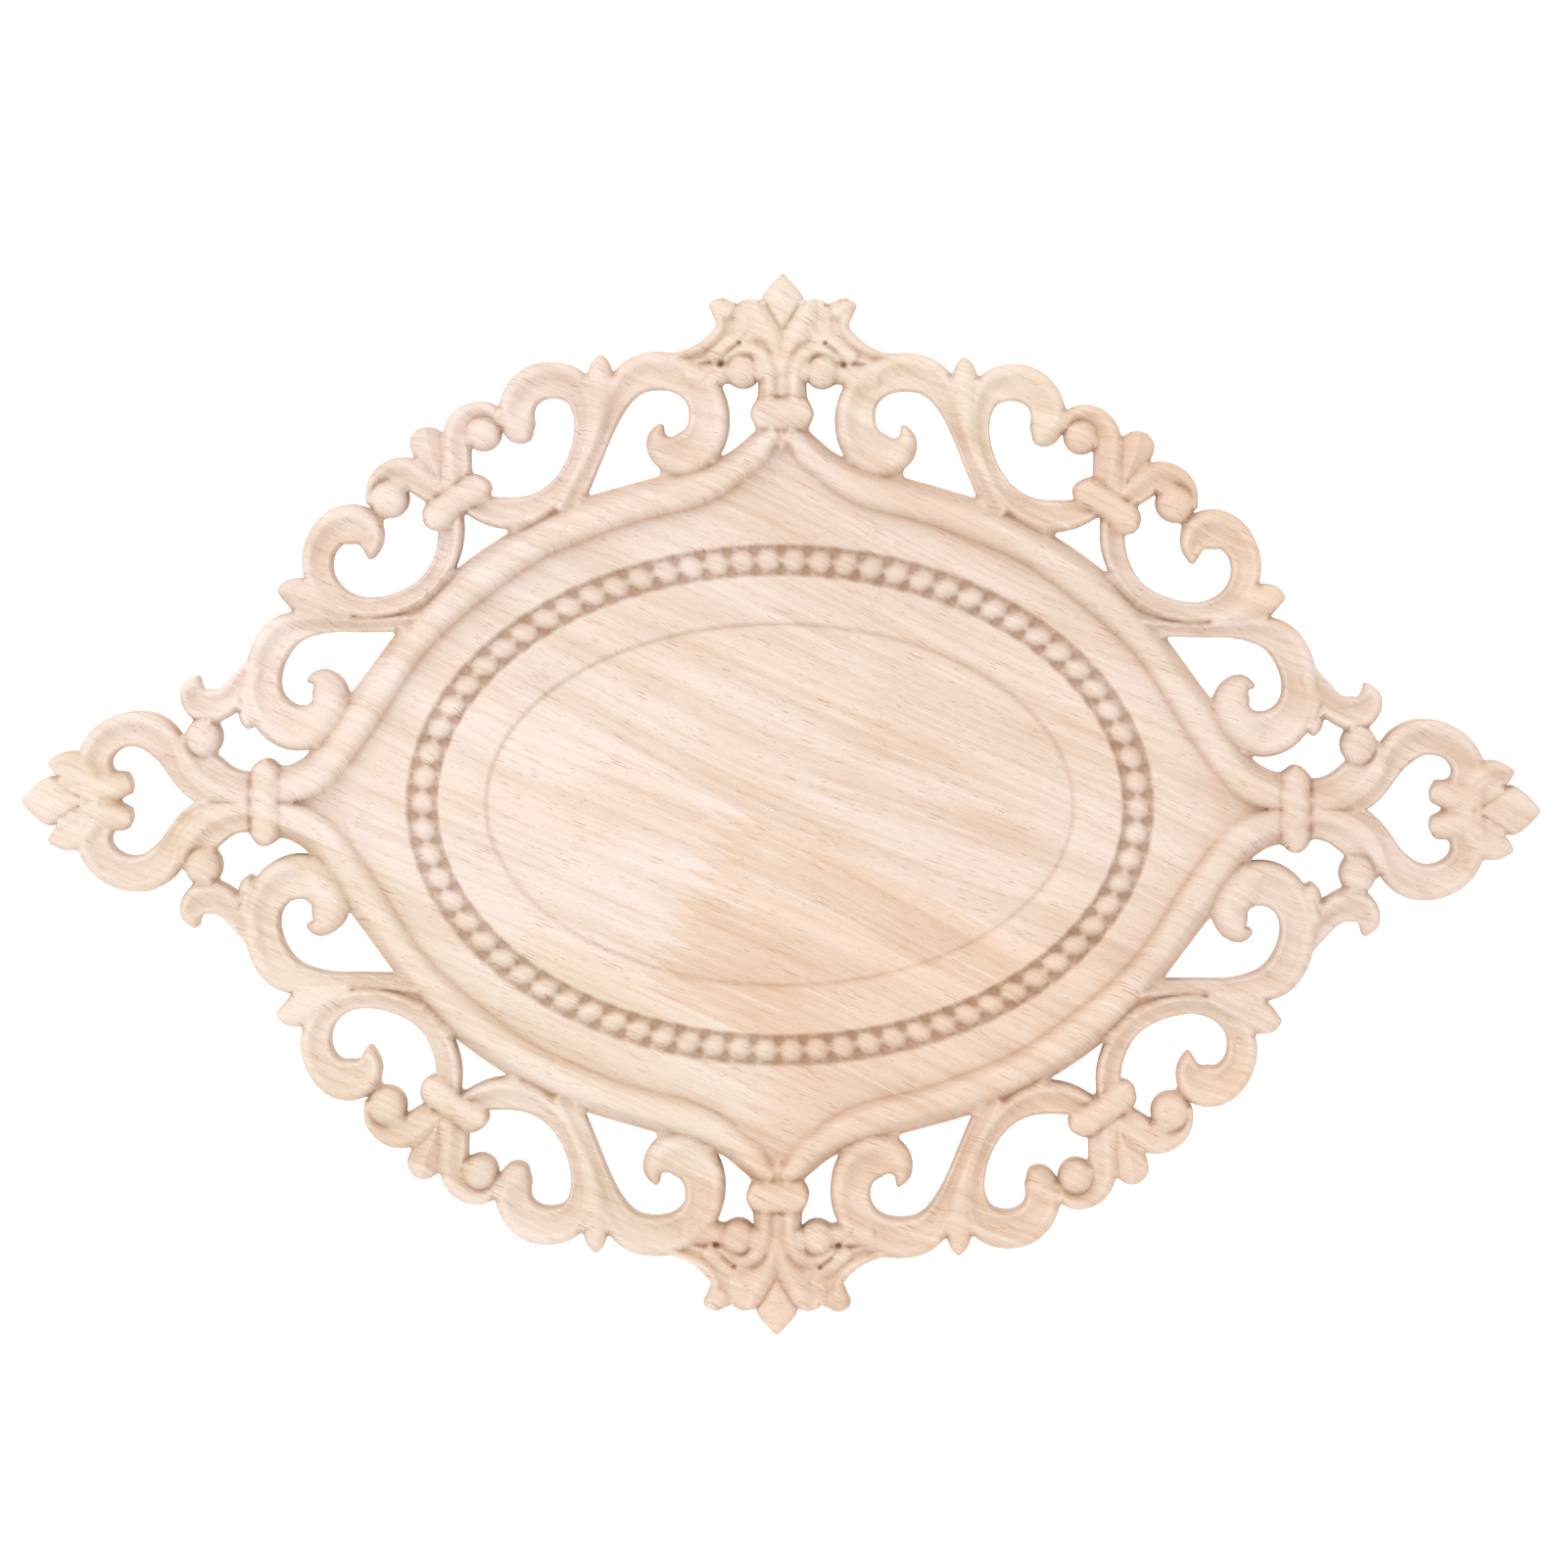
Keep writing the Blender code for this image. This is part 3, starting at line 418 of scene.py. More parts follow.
def spline(points, step):
    """Even samples of the natural cubic spline through the rows of points."""
    p = np.array(points, dtype=float)
    u = np.concatenate(([0.0], np.cumsum(np.hypot(*(p[1:, :2] - p[:-1, :2]).T))))
    n = len(p)
    h = np.diff(u)
    m = np.eye(n)
    rhs = np.zeros_like(p)
    for i in range(1, n - 1):
        m[i, i - 1] = h[i - 1]
        m[i, i] = 2.0 * (h[i - 1] + h[i])
        m[i, i + 1] = h[i]
        rhs[i] = 6.0 * ((p[i + 1] - p[i]) / h[i] - (p[i] - p[i - 1]) / h[i - 1])
    curve = np.linalg.solve(m, rhs)
    count = max(3, int(round(u[-1] / step)) + 1)
    s = np.linspace(0.0, u[-1], count)
    k = np.clip(np.searchsorted(u, s, side="right") - 1, 0, n - 2)
    a = ((u[k + 1] - s) / h[k])[:, None]
    b = ((s - u[k]) / h[k])[:, None]
    hk = (h[k] ** 2 / 6.0)[:, None]
    out = a * p[k] + b * p[k + 1] + hk * ((a ** 3 - a) * curve[k] + (b ** 3 - b) * curve[k + 1])
    return out, np.interp(s, u, np.arange(n))


class Quarter:
    """Map of one quarter of the plan: how deep inside the wood, and how high."""

    def __init__(self):
        self.x = np.arange(-MARGIN, PLAN_HALF_X + SPARE, GRID)
        self.y = np.arange(-MARGIN, PLAN_HALF_Y + SPARE, GRID)
        self.shape = (len(self.x), len(self.y))
        self.sum = np.zeros(self.shape)
        self.high = np.full(self.shape, UNCUT)

    def window(self, low, high, spare):
        """Slices of the map round a rectangle of the plan."""
        i = np.searchsorted(self.x, (low[0] - spare, high[0] + spare))
        j = np.searchsorted(self.y, (low[1] - spare, high[1] + spare))
        return slice(i[0], i[1]), slice(j[0], j[1])

    def stroke(self, line, rim, reach=REACH, grow=0.0):
        """Distance outside a band, place across it (-1 outer, +1 inner), station, half width.

        The band is a row of short straight strips, one at each sample of its centre line.
        """
        centre, station = spline(line, STEP)
        d = np.gradient(centre[:, :2], axis=0)
        step = np.hypot(d[:, 0], d[:, 1])
        d = d / step[:, None]
        bend = BEND_SPREAD * np.hypot(*np.gradient(d, axis=0).T) / step
        w = np.maximum(centre[:, 2] + grow, NARROWEST)
        swell = np.gradient(w) / step
        gap = np.full(self.shape, FAR)
        across = np.zeros(self.shape)
        along = np.zeros(self.shape)
        half = np.ones(self.shape)
        for first in range(0, len(centre) - 1, CHUNK):
            part = slice(first, first + CHUNK + 1)
            c = centre[part, :2]
            box = self.window(c.min(0), c.max(0), w[part].max() + reach)
            px, py = np.meshgrid(self.x[box[0]], self.y[box[1]], indexing="ij")
            dx = px[:, :, None] - c[:, 0]
            dy = py[:, :, None] - c[:, 1]
            ahead = dx * d[part, 0] + dy * d[part, 1]
            side = d[part, 0] * dy - d[part, 1] * dx
            past = np.abs(ahead) - step[part] / 2.0 * (1.0 + bend[part] * np.abs(side))
            past = np.maximum(past, 0.0)
            score = np.abs(side) - w[part] + END_SLOPE * past
            k = np.argmin(score, axis=2)[:, :, None]
            score = np.take_along_axis(score, k, 2)[:, :, 0]
            ahead = np.take_along_axis(ahead, k, 2)[:, :, 0]
            side = np.take_along_axis(side, k, 2)[:, :, 0]
            k = k[:, :, 0] + first
            wide = w[k] + swell[k] * np.clip(ahead, -step[k] / 2.0, step[k] / 2.0)
            nearer = score < gap[box]
            outside = np.where(score > 0.0, score, np.abs(side) - wide)
            place = np.clip(-rim * side / wide, -1.0, 1.0)
            gap[box] = np.where(nearer, outside, gap[box])
            across[box] = np.where(nearer, place, across[box])
            along[box] = np.where(nearer, station[k], along[box])
            half[box] = np.where(nearer, wide, half[box])
        return gap, across, along, half

    def join(self, gap, z):
        """Add a shape: soft union of the footprints, the higher of the two surfaces."""
        z = np.where(gap > 0.0, foot(gap), z)
        self.sum += np.exp(-np.clip(gap, -DEEPEST, DEEPEST) / FILLET)
        self.high = np.where(gap < REACH, np.maximum(self.high, z), self.high)

    def band(self, line, rim, section, bulb_from):
        """Join one carved band."""
        gap, across, along, half = self.stroke(line, rim, grow=BAND_GROWTH)
        z = profile(across, section)
        if bulb_from < NO_BULB:
            turn = smooth((along - bulb_from) / BULB_FADE)
            z = z * (1.0 - turn) + profile(across, BULB) * turn
        share = np.minimum(1.0, np.sqrt(half / FULL_HALF))
        self.join(gap, EDGE + (z - EDGE) * share)

    def ball(self, x, y, rx, ry):
        """Join one round ball, with a groove round it."""
        px, py = np.meshgrid(self.x - x, self.y - y, indexing="ij")
        r = np.hypot(px / rx, py / ry)
        gap = (r - 1.0) * (rx + ry) / 2.0
        self.join(gap, BALL_FOOT + BALL_RISE * np.sqrt(np.clip(1.0 - r * r, 0.0, 1.0)))
        self.high = self.high - BALL_RING * np.exp(-(gap / BALL_RING_WIDTH) ** 2)

    def plate(self):
        """Set the field, bead channel, ring and dish inside the roll, then the roll."""
        rungs = np.array(ROLL_RUNGS)
        out = rungs[:, :2] - rungs[:, 2:]
        rungs[:, :2] += ROLL_GROWTH * out / np.hypot(out[:, 0], out[:, 1])[:, None]
        half = np.hypot(rungs[:, 0] - rungs[:, 2], rungs[:, 1] - rungs[:, 3]) / 2.0
        middle = np.column_stack(((rungs[:, :2] + rungs[:, 2:]) / 2.0, half))
        gap, across = self.stroke(middle, -1, ROLL_REACH)[:2]
        line, _ = spline(middle, 1.0)
        order = np.argsort(line[:, 1])
        limit = np.interp(np.abs(self.y), line[order, 1], line[order, 0])
        within = np.abs(self.x)[:, None] < limit[None, :]
        within &= np.abs(self.y)[None, :] < line[0, 1]
        px, py = np.meshgrid(self.x * SX * 1000.0, self.y * SY * 1000.0, indexing="ij")
        z = channel_height(px, py)
        z = z - ROLL_CREASE * np.exp(-np.clip(gap, 0.0, 9.0) / ROLL_CREASE_WIDTH)
        outside = np.where(gap < REACH, foot(gap), UNCUT)
        self.roll = gap
        self.high = np.where(gap <= 0.0, profile(across, ROLL), np.where(within, z, outside))
        self.sum += np.exp(-np.clip(gap, -DEEPEST, DEEPEST) / FILLET)
        self.sum = np.where(within, np.exp(DEEPEST / FILLET), self.sum)

    def cut(self, line, depth, width):
        """Carve a fine line."""
        gap = self.stroke([(x, y, width) for x, y in line], 1)[0]
        self.high = self.high - depth * np.exp(-np.clip((gap + width) / width, 0.0, 9.0) ** 2)

    def drill(self, x, y, r, bottom):
        """Drill one eye."""
        px, py = np.meshgrid(self.x - x, self.y - y, indexing="ij")
        far = np.hypot(px, py) / r
        bore = bottom + EYE_WALL * np.maximum(far - EYE_FLOOR, 0.0)
        self.high = np.where(far < EYE_RIM, np.minimum(self.high, bore), self.high)

    def fold(self):
        """Let what crosses an axis of the plan count on both sides of it."""
        self.cover = -FILLET * np.log(np.maximum(self.sum, 1e-12))
        n = int(round(MARGIN / GRID))
        for field, choose in ((self.cover, np.minimum), (self.high, np.maximum)):
            field[n:2 * n + 1] = choose(field[n:2 * n + 1], field[n::-1])
            field[:, n:2 * n + 1] = choose(field[:, n:2 * n + 1], field[:, n::-1])

    def whole(self):
        """The four quarters as one map: places, cover (inside below 0), height and roll."""
        n = int(round(MARGIN / GRID))
        maps = []
        for field in (self.cover, self.high, self.roll):
            q = field[n:, n:]
            q = np.concatenate((q[:0:-1], q), axis=0)
            maps.append(np.concatenate((q[:, :0:-1], q), axis=1))
        x = np.arange(-(self.shape[0] - n - 1), self.shape[0] - n) * GRID
        y = np.arange(-(self.shape[1] - n - 1), self.shape[1] - n) * GRID
        return [x, y] + maps


def foot(gap):
    """Height of the slope round a footprint."""
    return EDGE - FOOT_FALL * gap


def profile(t, rows):
    """Height at places across a section."""
    return np.interp(t, [row[0] for row in rows], [row[1] for row in rows])


def smooth(v):
    """Smooth step from 0 to 1."""
    v = np.clip(v, 0.0, 1.0)
    return v * v * (3.0 - 2.0 * v)


def ellipse_inset(px, py):
    """How far places lie inside the channel's outer edge, in millimetres, by halving."""
    low = np.full(px.shape, -60.0)
    high = np.full(px.shape, 60.0)
    for _ in range(16):
        inset = (low + high) / 2.0
        beyond = np.hypot(px / (CHANNEL_A - inset), py / (CHANNEL_B - inset)) > 1.0
        high = np.where(beyond, inset, high)
        low = np.where(beyond, low, inset)
    return inset


def channel_height(px, py):
    """Height of the plate over its whole width, beads included; places in millimetres."""
    inset = ellipse_inset(px, py)
    z = profile(inset, PLATE_SECTION)
    # place along the row of beads, measured on its middle line from the side axis
    a = CHANNEL_A - CHANNEL_WIDTH / 2.0
    b = CHANNEL_B - CHANNEL_WIDTH / 2.0
    th = np.linspace(-0.3, math.pi / 2.0 + 0.3, 4001)
    steps = np.hypot(np.diff(a * np.cos(th)), np.diff(b * np.sin(th)))
    run = np.concatenate(([0.0], np.cumsum(steps)))
    run -= np.interp(0.0, th, run)
    pitch = 4.0 * np.interp(math.pi / 2.0, th, run) / BEAD_COUNT
    place = np.interp(np.arctan2(py / b, px / a), th, run)
    u = np.abs(place - np.round(place / pitch) * pitch)
    v = np.abs(inset - CHANNEL_WIDTH / 2.0)
    r = (u / (BEAD_LENGTH / 2.0)) ** 2 + (v / (BEAD_WIDTH / 2.0)) ** 2
    dome = CHANNEL_FLOOR + (BEAD_TOP - CHANNEL_FLOOR) * np.sqrt(np.clip(1.0 - r, 0.0, 1.0))
    dome = np.where(r < 1.0, dome, 0.0)
    neck = NECK_HEIGHT - NECK_FALL * (v / NECK_HALF) ** 2
    between = pitch / 2.0 - u
    pit = smooth((1.0 - between / (PIT_WIDTH + PIT_SPREAD * v)) * PIT_STEEP)
    pit = pit * smooth(v - PIT_START)
    wall = np.where(v > CHANNEL_WIDTH / 2.0 - CHANNEL_WALL, z - CHANNEL_FLOOR, 0.0)
    floor_z = np.minimum(z, CHANNEL_FLOOR - PIT_DEPTH * pit + wall)
    carved = np.maximum(np.maximum(dome, neck), floor_z)
    return np.where(v < CHANNEL_WIDTH / 2.0, carved, z)


def blur(field, mask, sigma):
    """Gaussian mean of a map over its masked part."""
    reach = int(math.ceil(3.0 * sigma / GRID))
    shares = np.exp(-0.5 * (np.arange(-reach, reach + 1) * GRID / sigma) ** 2)
    means = []
    for a in (field * mask, mask):
        for axis in (0, 1):
            out = np.zeros_like(a)
            for k, share in zip(range(-reach, reach + 1), shares):
                out += share * np.roll(a, k, axis)
            a = out
        means.append(a)
    return means[0] / np.maximum(means[1], 1e-9)


def outlines(x, y, cover):
    """Closed loops round the wood, with the wood on their left."""
    inside = cover < 0.0
    count = inside[:-1, :-1].astype(int) + inside[1:, :-1] + inside[1:, 1:] + inside[:-1, 1:]
    follow = {}
    for i, j in np.argwhere((count > 0) & (count < 4)):
        corners = ((i, j), (i + 1, j), (i + 1, j + 1), (i, j + 1))
        names = ((i, j, 0), (i + 1, j, 1), (i, j + 1, 0), (i, j, 1))
        marks = []
        for k in range(4):
            here = inside[corners[k]]
            there = inside[corners[(k + 1) % 4]]
            if here != there:
                marks.append((names[k], here))
        for k, (name, leaving) in enumerate(marks):
            if leaving:
                follow[name] = marks[k - 1][0]
    loops = []
    while follow:
        name = next(iter(follow))
        loop = []
        while name in follow:
            i, j, upright = name
            p = cover[i, j]
            q = cover[i, j + 1] if upright else cover[i + 1, j]
            share = p / (p - q) * GRID
            loop.append((x[i] + (0.0 if upright else share), y[j] + (share if upright else 0.0)))
            name = follow.pop(name)
        loops.append(np.array(loop))
    return loops


def even(loop, spacing):
    """The loop with its points evenly spaced."""
    loop = (np.roll(loop, 1, 0) + 2.0 * loop + np.roll(loop, -1, 0)) / 4.0
    ring = np.vstack((loop, loop[:1]))
    run = np.concatenate(([0.0], np.cumsum(np.hypot(*np.diff(ring, axis=0).T))))
    marks = np.linspace(0.0, run[-1], max(8, int(round(run[-1] / spacing))), endpoint=False)
    return np.column_stack((np.interp(marks, run, ring[:, 0]), np.interp(marks, run, ring[:, 1])))


def read_map(x, y, field, points):
    """Map values at free points."""
    u = (points[:, 0] - x[0]) / GRID
    v = (points[:, 1] - y[0]) / GRID
    i = np.clip(u.astype(int), 0, len(x) - 2)
    j = np.clip(v.astype(int), 0, len(y) - 2)
    u = u - i
    v = v - j
    return ((field[i, j] * (1 - u) + field[i + 1, j] * u) * (1 - v)
            + (field[i, j + 1] * (1 - u) + field[i + 1, j + 1] * u) * v)


def triangles(points, loops):
    """Triangles between the loops through all the points."""
    ties = []
    first = 0
    for n in loops:
        ties += [(first + k, first + (k + 1) % n) for k in range(n)]
        first += n
    found = delaunay_2d_cdt([Vector(p) for p in points], ties, [], 1, WELD)
    home = np.array([row[0] if row else -1 for row in found[3]])
    return home[np.array(found[2])], np.array(ties)


def wooded(faces, ties, size):
    """Triangles on the left of the loops, spread from those beside a loop."""
    faces = faces.tolist()
    forward = set((ties[:, 0] * size + ties[:, 1]).tolist())
    walls = forward | set((ties[:, 1] * size + ties[:, 0]).tolist())
    beside = {}
    for n, face in enumerate(faces):
        for k in range(3):
            beside[face[k] * size + face[(k + 1) % 3]] = n
    queue = list(set(beside[code] for code in forward if code in beside))
    kept = [False] * len(faces)
    for n in queue:
        kept[n] = True
    while queue:
        face = faces[queue.pop()]
        for k in range(3):
            a = face[k]
            b = face[(k + 1) % 3]
            n = beside.get(b * size + a)
            if n is not None and not kept[n] and a * size + b not in walls:
                kept[n] = True
                queue.append(n)
    return [face for face, good in zip(faces, kept) if good]


def lattice(x, y, spacing):
    """Staggered rows of points over the map."""
    rows = np.arange(y[0], y[-1], spacing * ROW_RATIO)
    grid = []
    for k, level in enumerate(rows):
        row = np.arange(x[0] + (k % 2) * spacing / 2.0, x[-1], spacing)
        grid.append(np.column_stack((row, np.full(len(row), level))))
    return np.vstack(grid)


def ellipse(x, y, rx, ry, count):
    """Even points round an ellipse."""
    th = np.linspace(0.0, 2.0 * math.pi, count, endpoint=False)
    return np.column_stack((x + rx * np.cos(th), y + ry * np.sin(th)))


def fine_lines():
    """Close points along the fine carved lines, round the eyes and the balls, on all sides."""
    spots = []
    for line, _, width in CUTS:
        centre, _ = spline([(x, y, width) for x, y in line], CREASE_STEP)
        d = np.gradient(centre[:, :2], axis=0)
        d = d / np.hypot(d[:, 0], d[:, 1])[:, None]
        for share in CREASE_ROWS:
            spots.append(centre[:, :2] + np.column_stack((-d[:, 1], d[:, 0])) * width * share)
    for x, y, r, _ in EYES:
        spots += [ellipse(x, y, r * share, r * share, EYE_POINTS) for share in EYE_ROWS]
    for x, y, rx, ry in BALLS:
        spots += [ellipse(x, y, rx * share, ry * share, BALL_POINTS) for share in BALL_ROWS]
    spots = np.unique(np.round(np.vstack(spots), 4), axis=0)
    return np.unique(np.vstack([spots * (sx, sy) for sx in (1, -1) for sy in (1, -1)]), axis=0)


def ring_rows():
    """Close points along the edges of the bead channel and of the dish."""
    spots = []
    for inset in RINGS:
        a = (CHANNEL_A - inset) / (SX * 1000.0)
        b = (CHANNEL_B - inset) / (SY * 1000.0)
        spots.append(ellipse(0.0, 0.0, a, b, RING_POINTS))
    return np.vstack(spots)


def relief():
    """Map of the whole carved face: places, cover, height, roll, hollows for painted shade,
    roughness.
    """
    quarter = Quarter()
    quarter.plate()
    for rim, section, bulb_from, line in BANDS.values():
        quarter.band(line, rim, section, bulb_from)
    for section, line in CROSS_BANDS.values():
        quarter.band(line, 1, section, NO_BULB)
    for row in BALLS:
        quarter.ball(*row)
    for line in WEBS:
        quarter.band(line, 1, WEB, NO_BULB)
    quarter.fold()
    for line, depth, width in CUTS:
        quarter.cut(line, depth, width)
    for row in EYES:
        quarter.drill(*row)
    x, y, cover, high, roll = quarter.whole()
    mask = (cover < MEAN_EDGE).astype(float)
    high = blur(high, mask, CUTTER)
    wide = blur(high, mask, WIDE_MEAN) - high
    narrow = blur(high, mask, NARROW_MEAN) - high
    # how sunk each place lies, which sets the painted shade of the hollows
    hollow_shade = np.maximum(wide, NARROW_SHARE * narrow)
    return x, y, cover, high, roll, hollow_shade, np.abs(narrow) + np.abs(wide)


def face_points(x, y, cover, roll, rough):
    """Points of the carved face, its outlines first, and how many each outline has."""
    loops = [even(loop, OUTLINE_STEP) for loop in outlines(x, y, cover) if len(loop) > FEWEST]
    rim = np.vstack(loops)
    rows = [rim]
    slope = np.gradient(cover, GRID)
    n = np.column_stack([read_map(x, y, part, rim) for part in slope])
    n = n / np.maximum(np.hypot(n[:, 0], n[:, 1]), 1e-6)[:, None]
    for inset in INSETS:
        p = rim - n * inset
        rows.append(p[np.abs(read_map(x, y, cover, p) + inset) < INSET_ERROR])

    creases = []
    for offset in ROLL_ROWS:
        creases += [even(loop, ROLL_STEP) for loop in outlines(x, y, roll - offset)]
    creases = np.vstack(creases + [fine_lines(), ring_rows()])
    rows.append(creases[read_map(x, y, cover, creases) < -CREASE_INSET])

    for spacing, clear in ((FINE, FINE_CLEAR), (COARSE, COARSE_CLEAR)):
        spots = lattice(x, y, spacing)
        spots = spots[read_map(x, y, cover, spots) < -INSETS[-1] - clear]
        carved = read_map(x, y, rough, spots) > EVEN
        if spacing == FINE:
            rows.append(spots[carved & (np.abs(read_map(x, y, roll, spots)) > ROLL_CLEAR)])
        else:
            rows.append(spots[~carved])
    return np.vstack(rows), [len(loop) for loop in loops]


def carved_board():
    """The whole applique as one closed skin."""
    x, y, cover, high, roll, hollow_shade, rough = relief()
    points, sizes = face_points(x, y, cover, roll, rough)
    faces, ties = triangles(points, sizes)
    faces = wooded(faces, ties, len(points))
    z = read_map(x, y, high, points)
    verts = np.column_stack((points[:, 0] * SX, -z / 1000.0, points[:, 1] * SY))
    used, faces = np.unique(np.array(faces), return_inverse=True)
    faces = faces.reshape(-1, 3)
    mesh = bpy.data.meshes.new("carved_board")
    mesh.from_pydata(verts[used].tolist(), [], faces.tolist())
    board = bpy.data.objects.new("carved_board", mesh)
    bpy.context.scene.collection.objects.link(board)
    thin = board.modifiers.new("thin", "DECIMATE")
    thin.ratio = min(1.0, FACE_TRIANGLES / len(faces))
    graph = bpy.context.evaluated_depsgraph_get()
    board.data = bpy.data.meshes.new_from_object(board.evaluated_get(graph))
    board.modifiers.clear()
    back_and_sides(board.data)

    # how sunk each point lies, for the painted shade that darkens and browns the hollows
    values = np.empty(len(board.data.vertices) * 3)
    board.data.vertices.foreach_get("co", values)
    values = values.reshape(-1, 3)
    flat = np.column_stack((values[:, 0] / SX, values[:, 2] / SY))
    shade_share = np.clip(read_map(x, y, hollow_shade, flat) / FULL_SHADE_DEPTH, 0.0, 1.0)
    # the sides and the back get a small fixed share of painted shade
    shade_share = np.where(values[:, 1] > SIDE_LEVEL, SIDE_SHADE, shade_share)
    board.data.attributes.new("hollow_shade", "FLOAT", "POINT").data.foreach_set("value", shade_share)
    board.data.shade_smooth()
    board.data.set_sharp_from_angle(angle=SHARP)
    return board


def open_rings(bm):
    """Rings of points along the open edges."""
    follow = {}
    for edge in bm.edges:
        if len(edge.link_loops) == 1:
            loop = edge.link_loops[0]
            follow[loop.vert] = loop.link_loop_next.vert
    rings = []
    while follow:
        vert = next(iter(follow))
        ring = []
        while vert in follow:
            ring.append(vert)
            vert = follow.pop(vert)
        rings.append(ring)
    return rings


def back_and_sides(mesh):
    """Close the carved face with straight sides and a flat back."""
    bm = bmesh.new()
    bm.from_mesh(mesh)
    bm.verts.ensure_lookup_table()
    rings = open_rings(bm)
    twin = {}
    for ring in rings:
        for vert in ring:
            twin[vert] = bm.verts.new((vert.co.x, 0.0, vert.co.z))
        for a, b in zip(ring, ring[1:] + ring[:1]):
            bm.faces.new((a, twin[a], twin[b], b))
    backs = [twin[vert] for ring in rings for vert in ring]
    points = np.array([(vert.co.x * 1000.0, vert.co.z * 1000.0) for vert in backs])
    faces, ties = triangles(points, [len(ring) for ring in rings])
    for a, b, c in wooded(faces, ties, len(points)):
        bm.faces.new((backs[c], backs[b], backs[a]))
    bmesh.ops.triangulate(bm, faces=[f for f in bm.faces if len(f.verts) > 3])
    bm.to_mesh(mesh)
    bm.free()


def wire(tree, source, target):
    """Feed a socket, or set its value where the source is a plain number or colour."""
    if isinstance(source, bpy.types.NodeSocket):
        tree.links.new(source, target)
    else:
        target.default_value = source


def calc(tree, operation, *values, clamp=False):
    """Math node on numbers or sockets."""
    n = tree.nodes.new("ShaderNodeMath")
    n.operation = operation
    n.use_clamp = clamp
    for socket, value in zip(n.inputs, values):
        wire(tree, value, socket)
    return n.outputs["Value"]


def vector(tree, x, y, z):
    """Vector of three numbers or sockets."""
    n = tree.nodes.new("ShaderNodeCombineXYZ")
    for socket, value in zip(n.inputs, (x, y, z)):
        wire(tree, value, socket)
    return n.outputs["Vector"]


def fade(tree, value, low, high, to_low=0.0, to_high=1.0):
    """Smooth step of a value from low to high."""
    n = tree.nodes.new("ShaderNodeMapRange")
    n.interpolation_type = "SMOOTHSTEP"
    for socket, v in zip(n.inputs, (value, low, high, to_low, to_high)):
        wire(tree, v, socket)
    return n.outputs["Result"]


def noise(tree, place, scale, detail, rough):
    """Even noise at a place."""
    n = tree.nodes.new("ShaderNodeTexNoise")
    n.noise_dimensions = "2D"
    wire(tree, place, n.inputs["Vector"])
    n.inputs["Scale"].default_value = scale
    n.inputs["Detail"].default_value = detail
    n.inputs["Roughness"].default_value = rough
    return n.outputs["Fac"]


def tint(tree, amount, first, second, blend="MIX"):
    """Mix of two colours."""
    n = tree.nodes.new("ShaderNodeMix")
    n.data_type = "RGBA"
    n.blend_type = blend
    wire(tree, amount, n.inputs["Factor"])
    wire(tree, first, n.inputs[6])
    wire(tree, second, n.inputs[7])
    return n.outputs[2]


def pore_group():
    """Open vessels of the wood as short dark dashes along the grain."""
    tree = bpy.data.node_groups.new("vessel_dashes", "ShaderNodeTree")
    face = tree.interface
    for name, kind in (("Along", "NodeSocketFloat"), ("Across", "NodeSocketFloat"),
                       ("Length", "NodeSocketFloat"), ("Spacing", "NodeSocketFloat"),
                       ("Size", "NodeSocketFloat")):
        face.new_socket(name=name, in_out="INPUT", socket_type=kind)
    face.new_socket(name="Mask", in_out="OUTPUT", socket_type="NodeSocketFloat")
    put = tree.nodes.new("NodeGroupInput").outputs
    out = tree.nodes.new("NodeGroupOutput")
    cell = tree.nodes.new("ShaderNodeTexVoronoi")
    cell.feature = "F1"
    cell.voronoi_dimensions = "2D"
    cell.inputs["Scale"].default_value = 1.0
    cell.inputs["Randomness"].default_value = 1.0
    place = vector(tree, calc(tree, "DIVIDE", put["Along"], put["Length"]),
                   calc(tree, "DIVIDE", put["Across"], put["Spacing"]), 0.0)
    wire(tree, place, cell.inputs["Vector"])
    chance = tree.nodes.new("ShaderNodeSeparateColor")
    wire(tree, cell.outputs["Color"], chance.inputs["Color"])
    reach = fade(tree, chance.outputs["Red"], 0.1, 1.0, 0.25, 1.0)
    reach = calc(tree, "MULTIPLY", put["Size"], reach)
    gap = calc(tree, "DIVIDE", cell.outputs["Distance"], reach)
    strength = fade(tree, chance.outputs["Green"], 0.0, 1.0, 0.35, 1.0)
    wire(tree, calc(tree, "MULTIPLY", fade(tree, gap, 1.0, 0.65), strength), out.inputs["Mask"])
    return tree


def pores(tree, group, along, across, length, spacing, size):
    """One layer of vessel dashes; length and spacing in millimetres."""
    n = tree.nodes.new("ShaderNodeGroup")
    n.node_tree = group
    for name, value in (("Along", along), ("Across", across), ("Length", length),
                        ("Spacing", spacing), ("Size", size)):
        wire(tree, value, n.inputs[name])
    return n.outputs["Mask"]


def board_tones(tree, strip, along, straight):
    """Tones of the glued strips, each made of two lengths joined by fingers."""
    tooth = calc(tree, "FRACT", calc(tree, "DIVIDE", straight, FINGER_PITCH))
    tooth = calc(tree, "ABSOLUTE", calc(tree, "SUBTRACT", tooth, 0.5))
    tooth = calc(tree, "MULTIPLY", calc(tree, "SUBTRACT", tooth, 0.25), 2.0 * FINGER_LENGTH)
    here = calc(tree, "ADD", along, tooth)
    base = None
    for k, (joint, left, right) in enumerate(BOARDS):
        past = fade(tree, calc(tree, "SUBTRACT", here, joint), -0.2, 0.2)
        tone = tint(tree, past, left, right)
        if base is None:
            base = tone
        else:
            base = tint(tree, calc(tree, "COMPARE", strip, float(k), 0.5), base, tone)
    return base


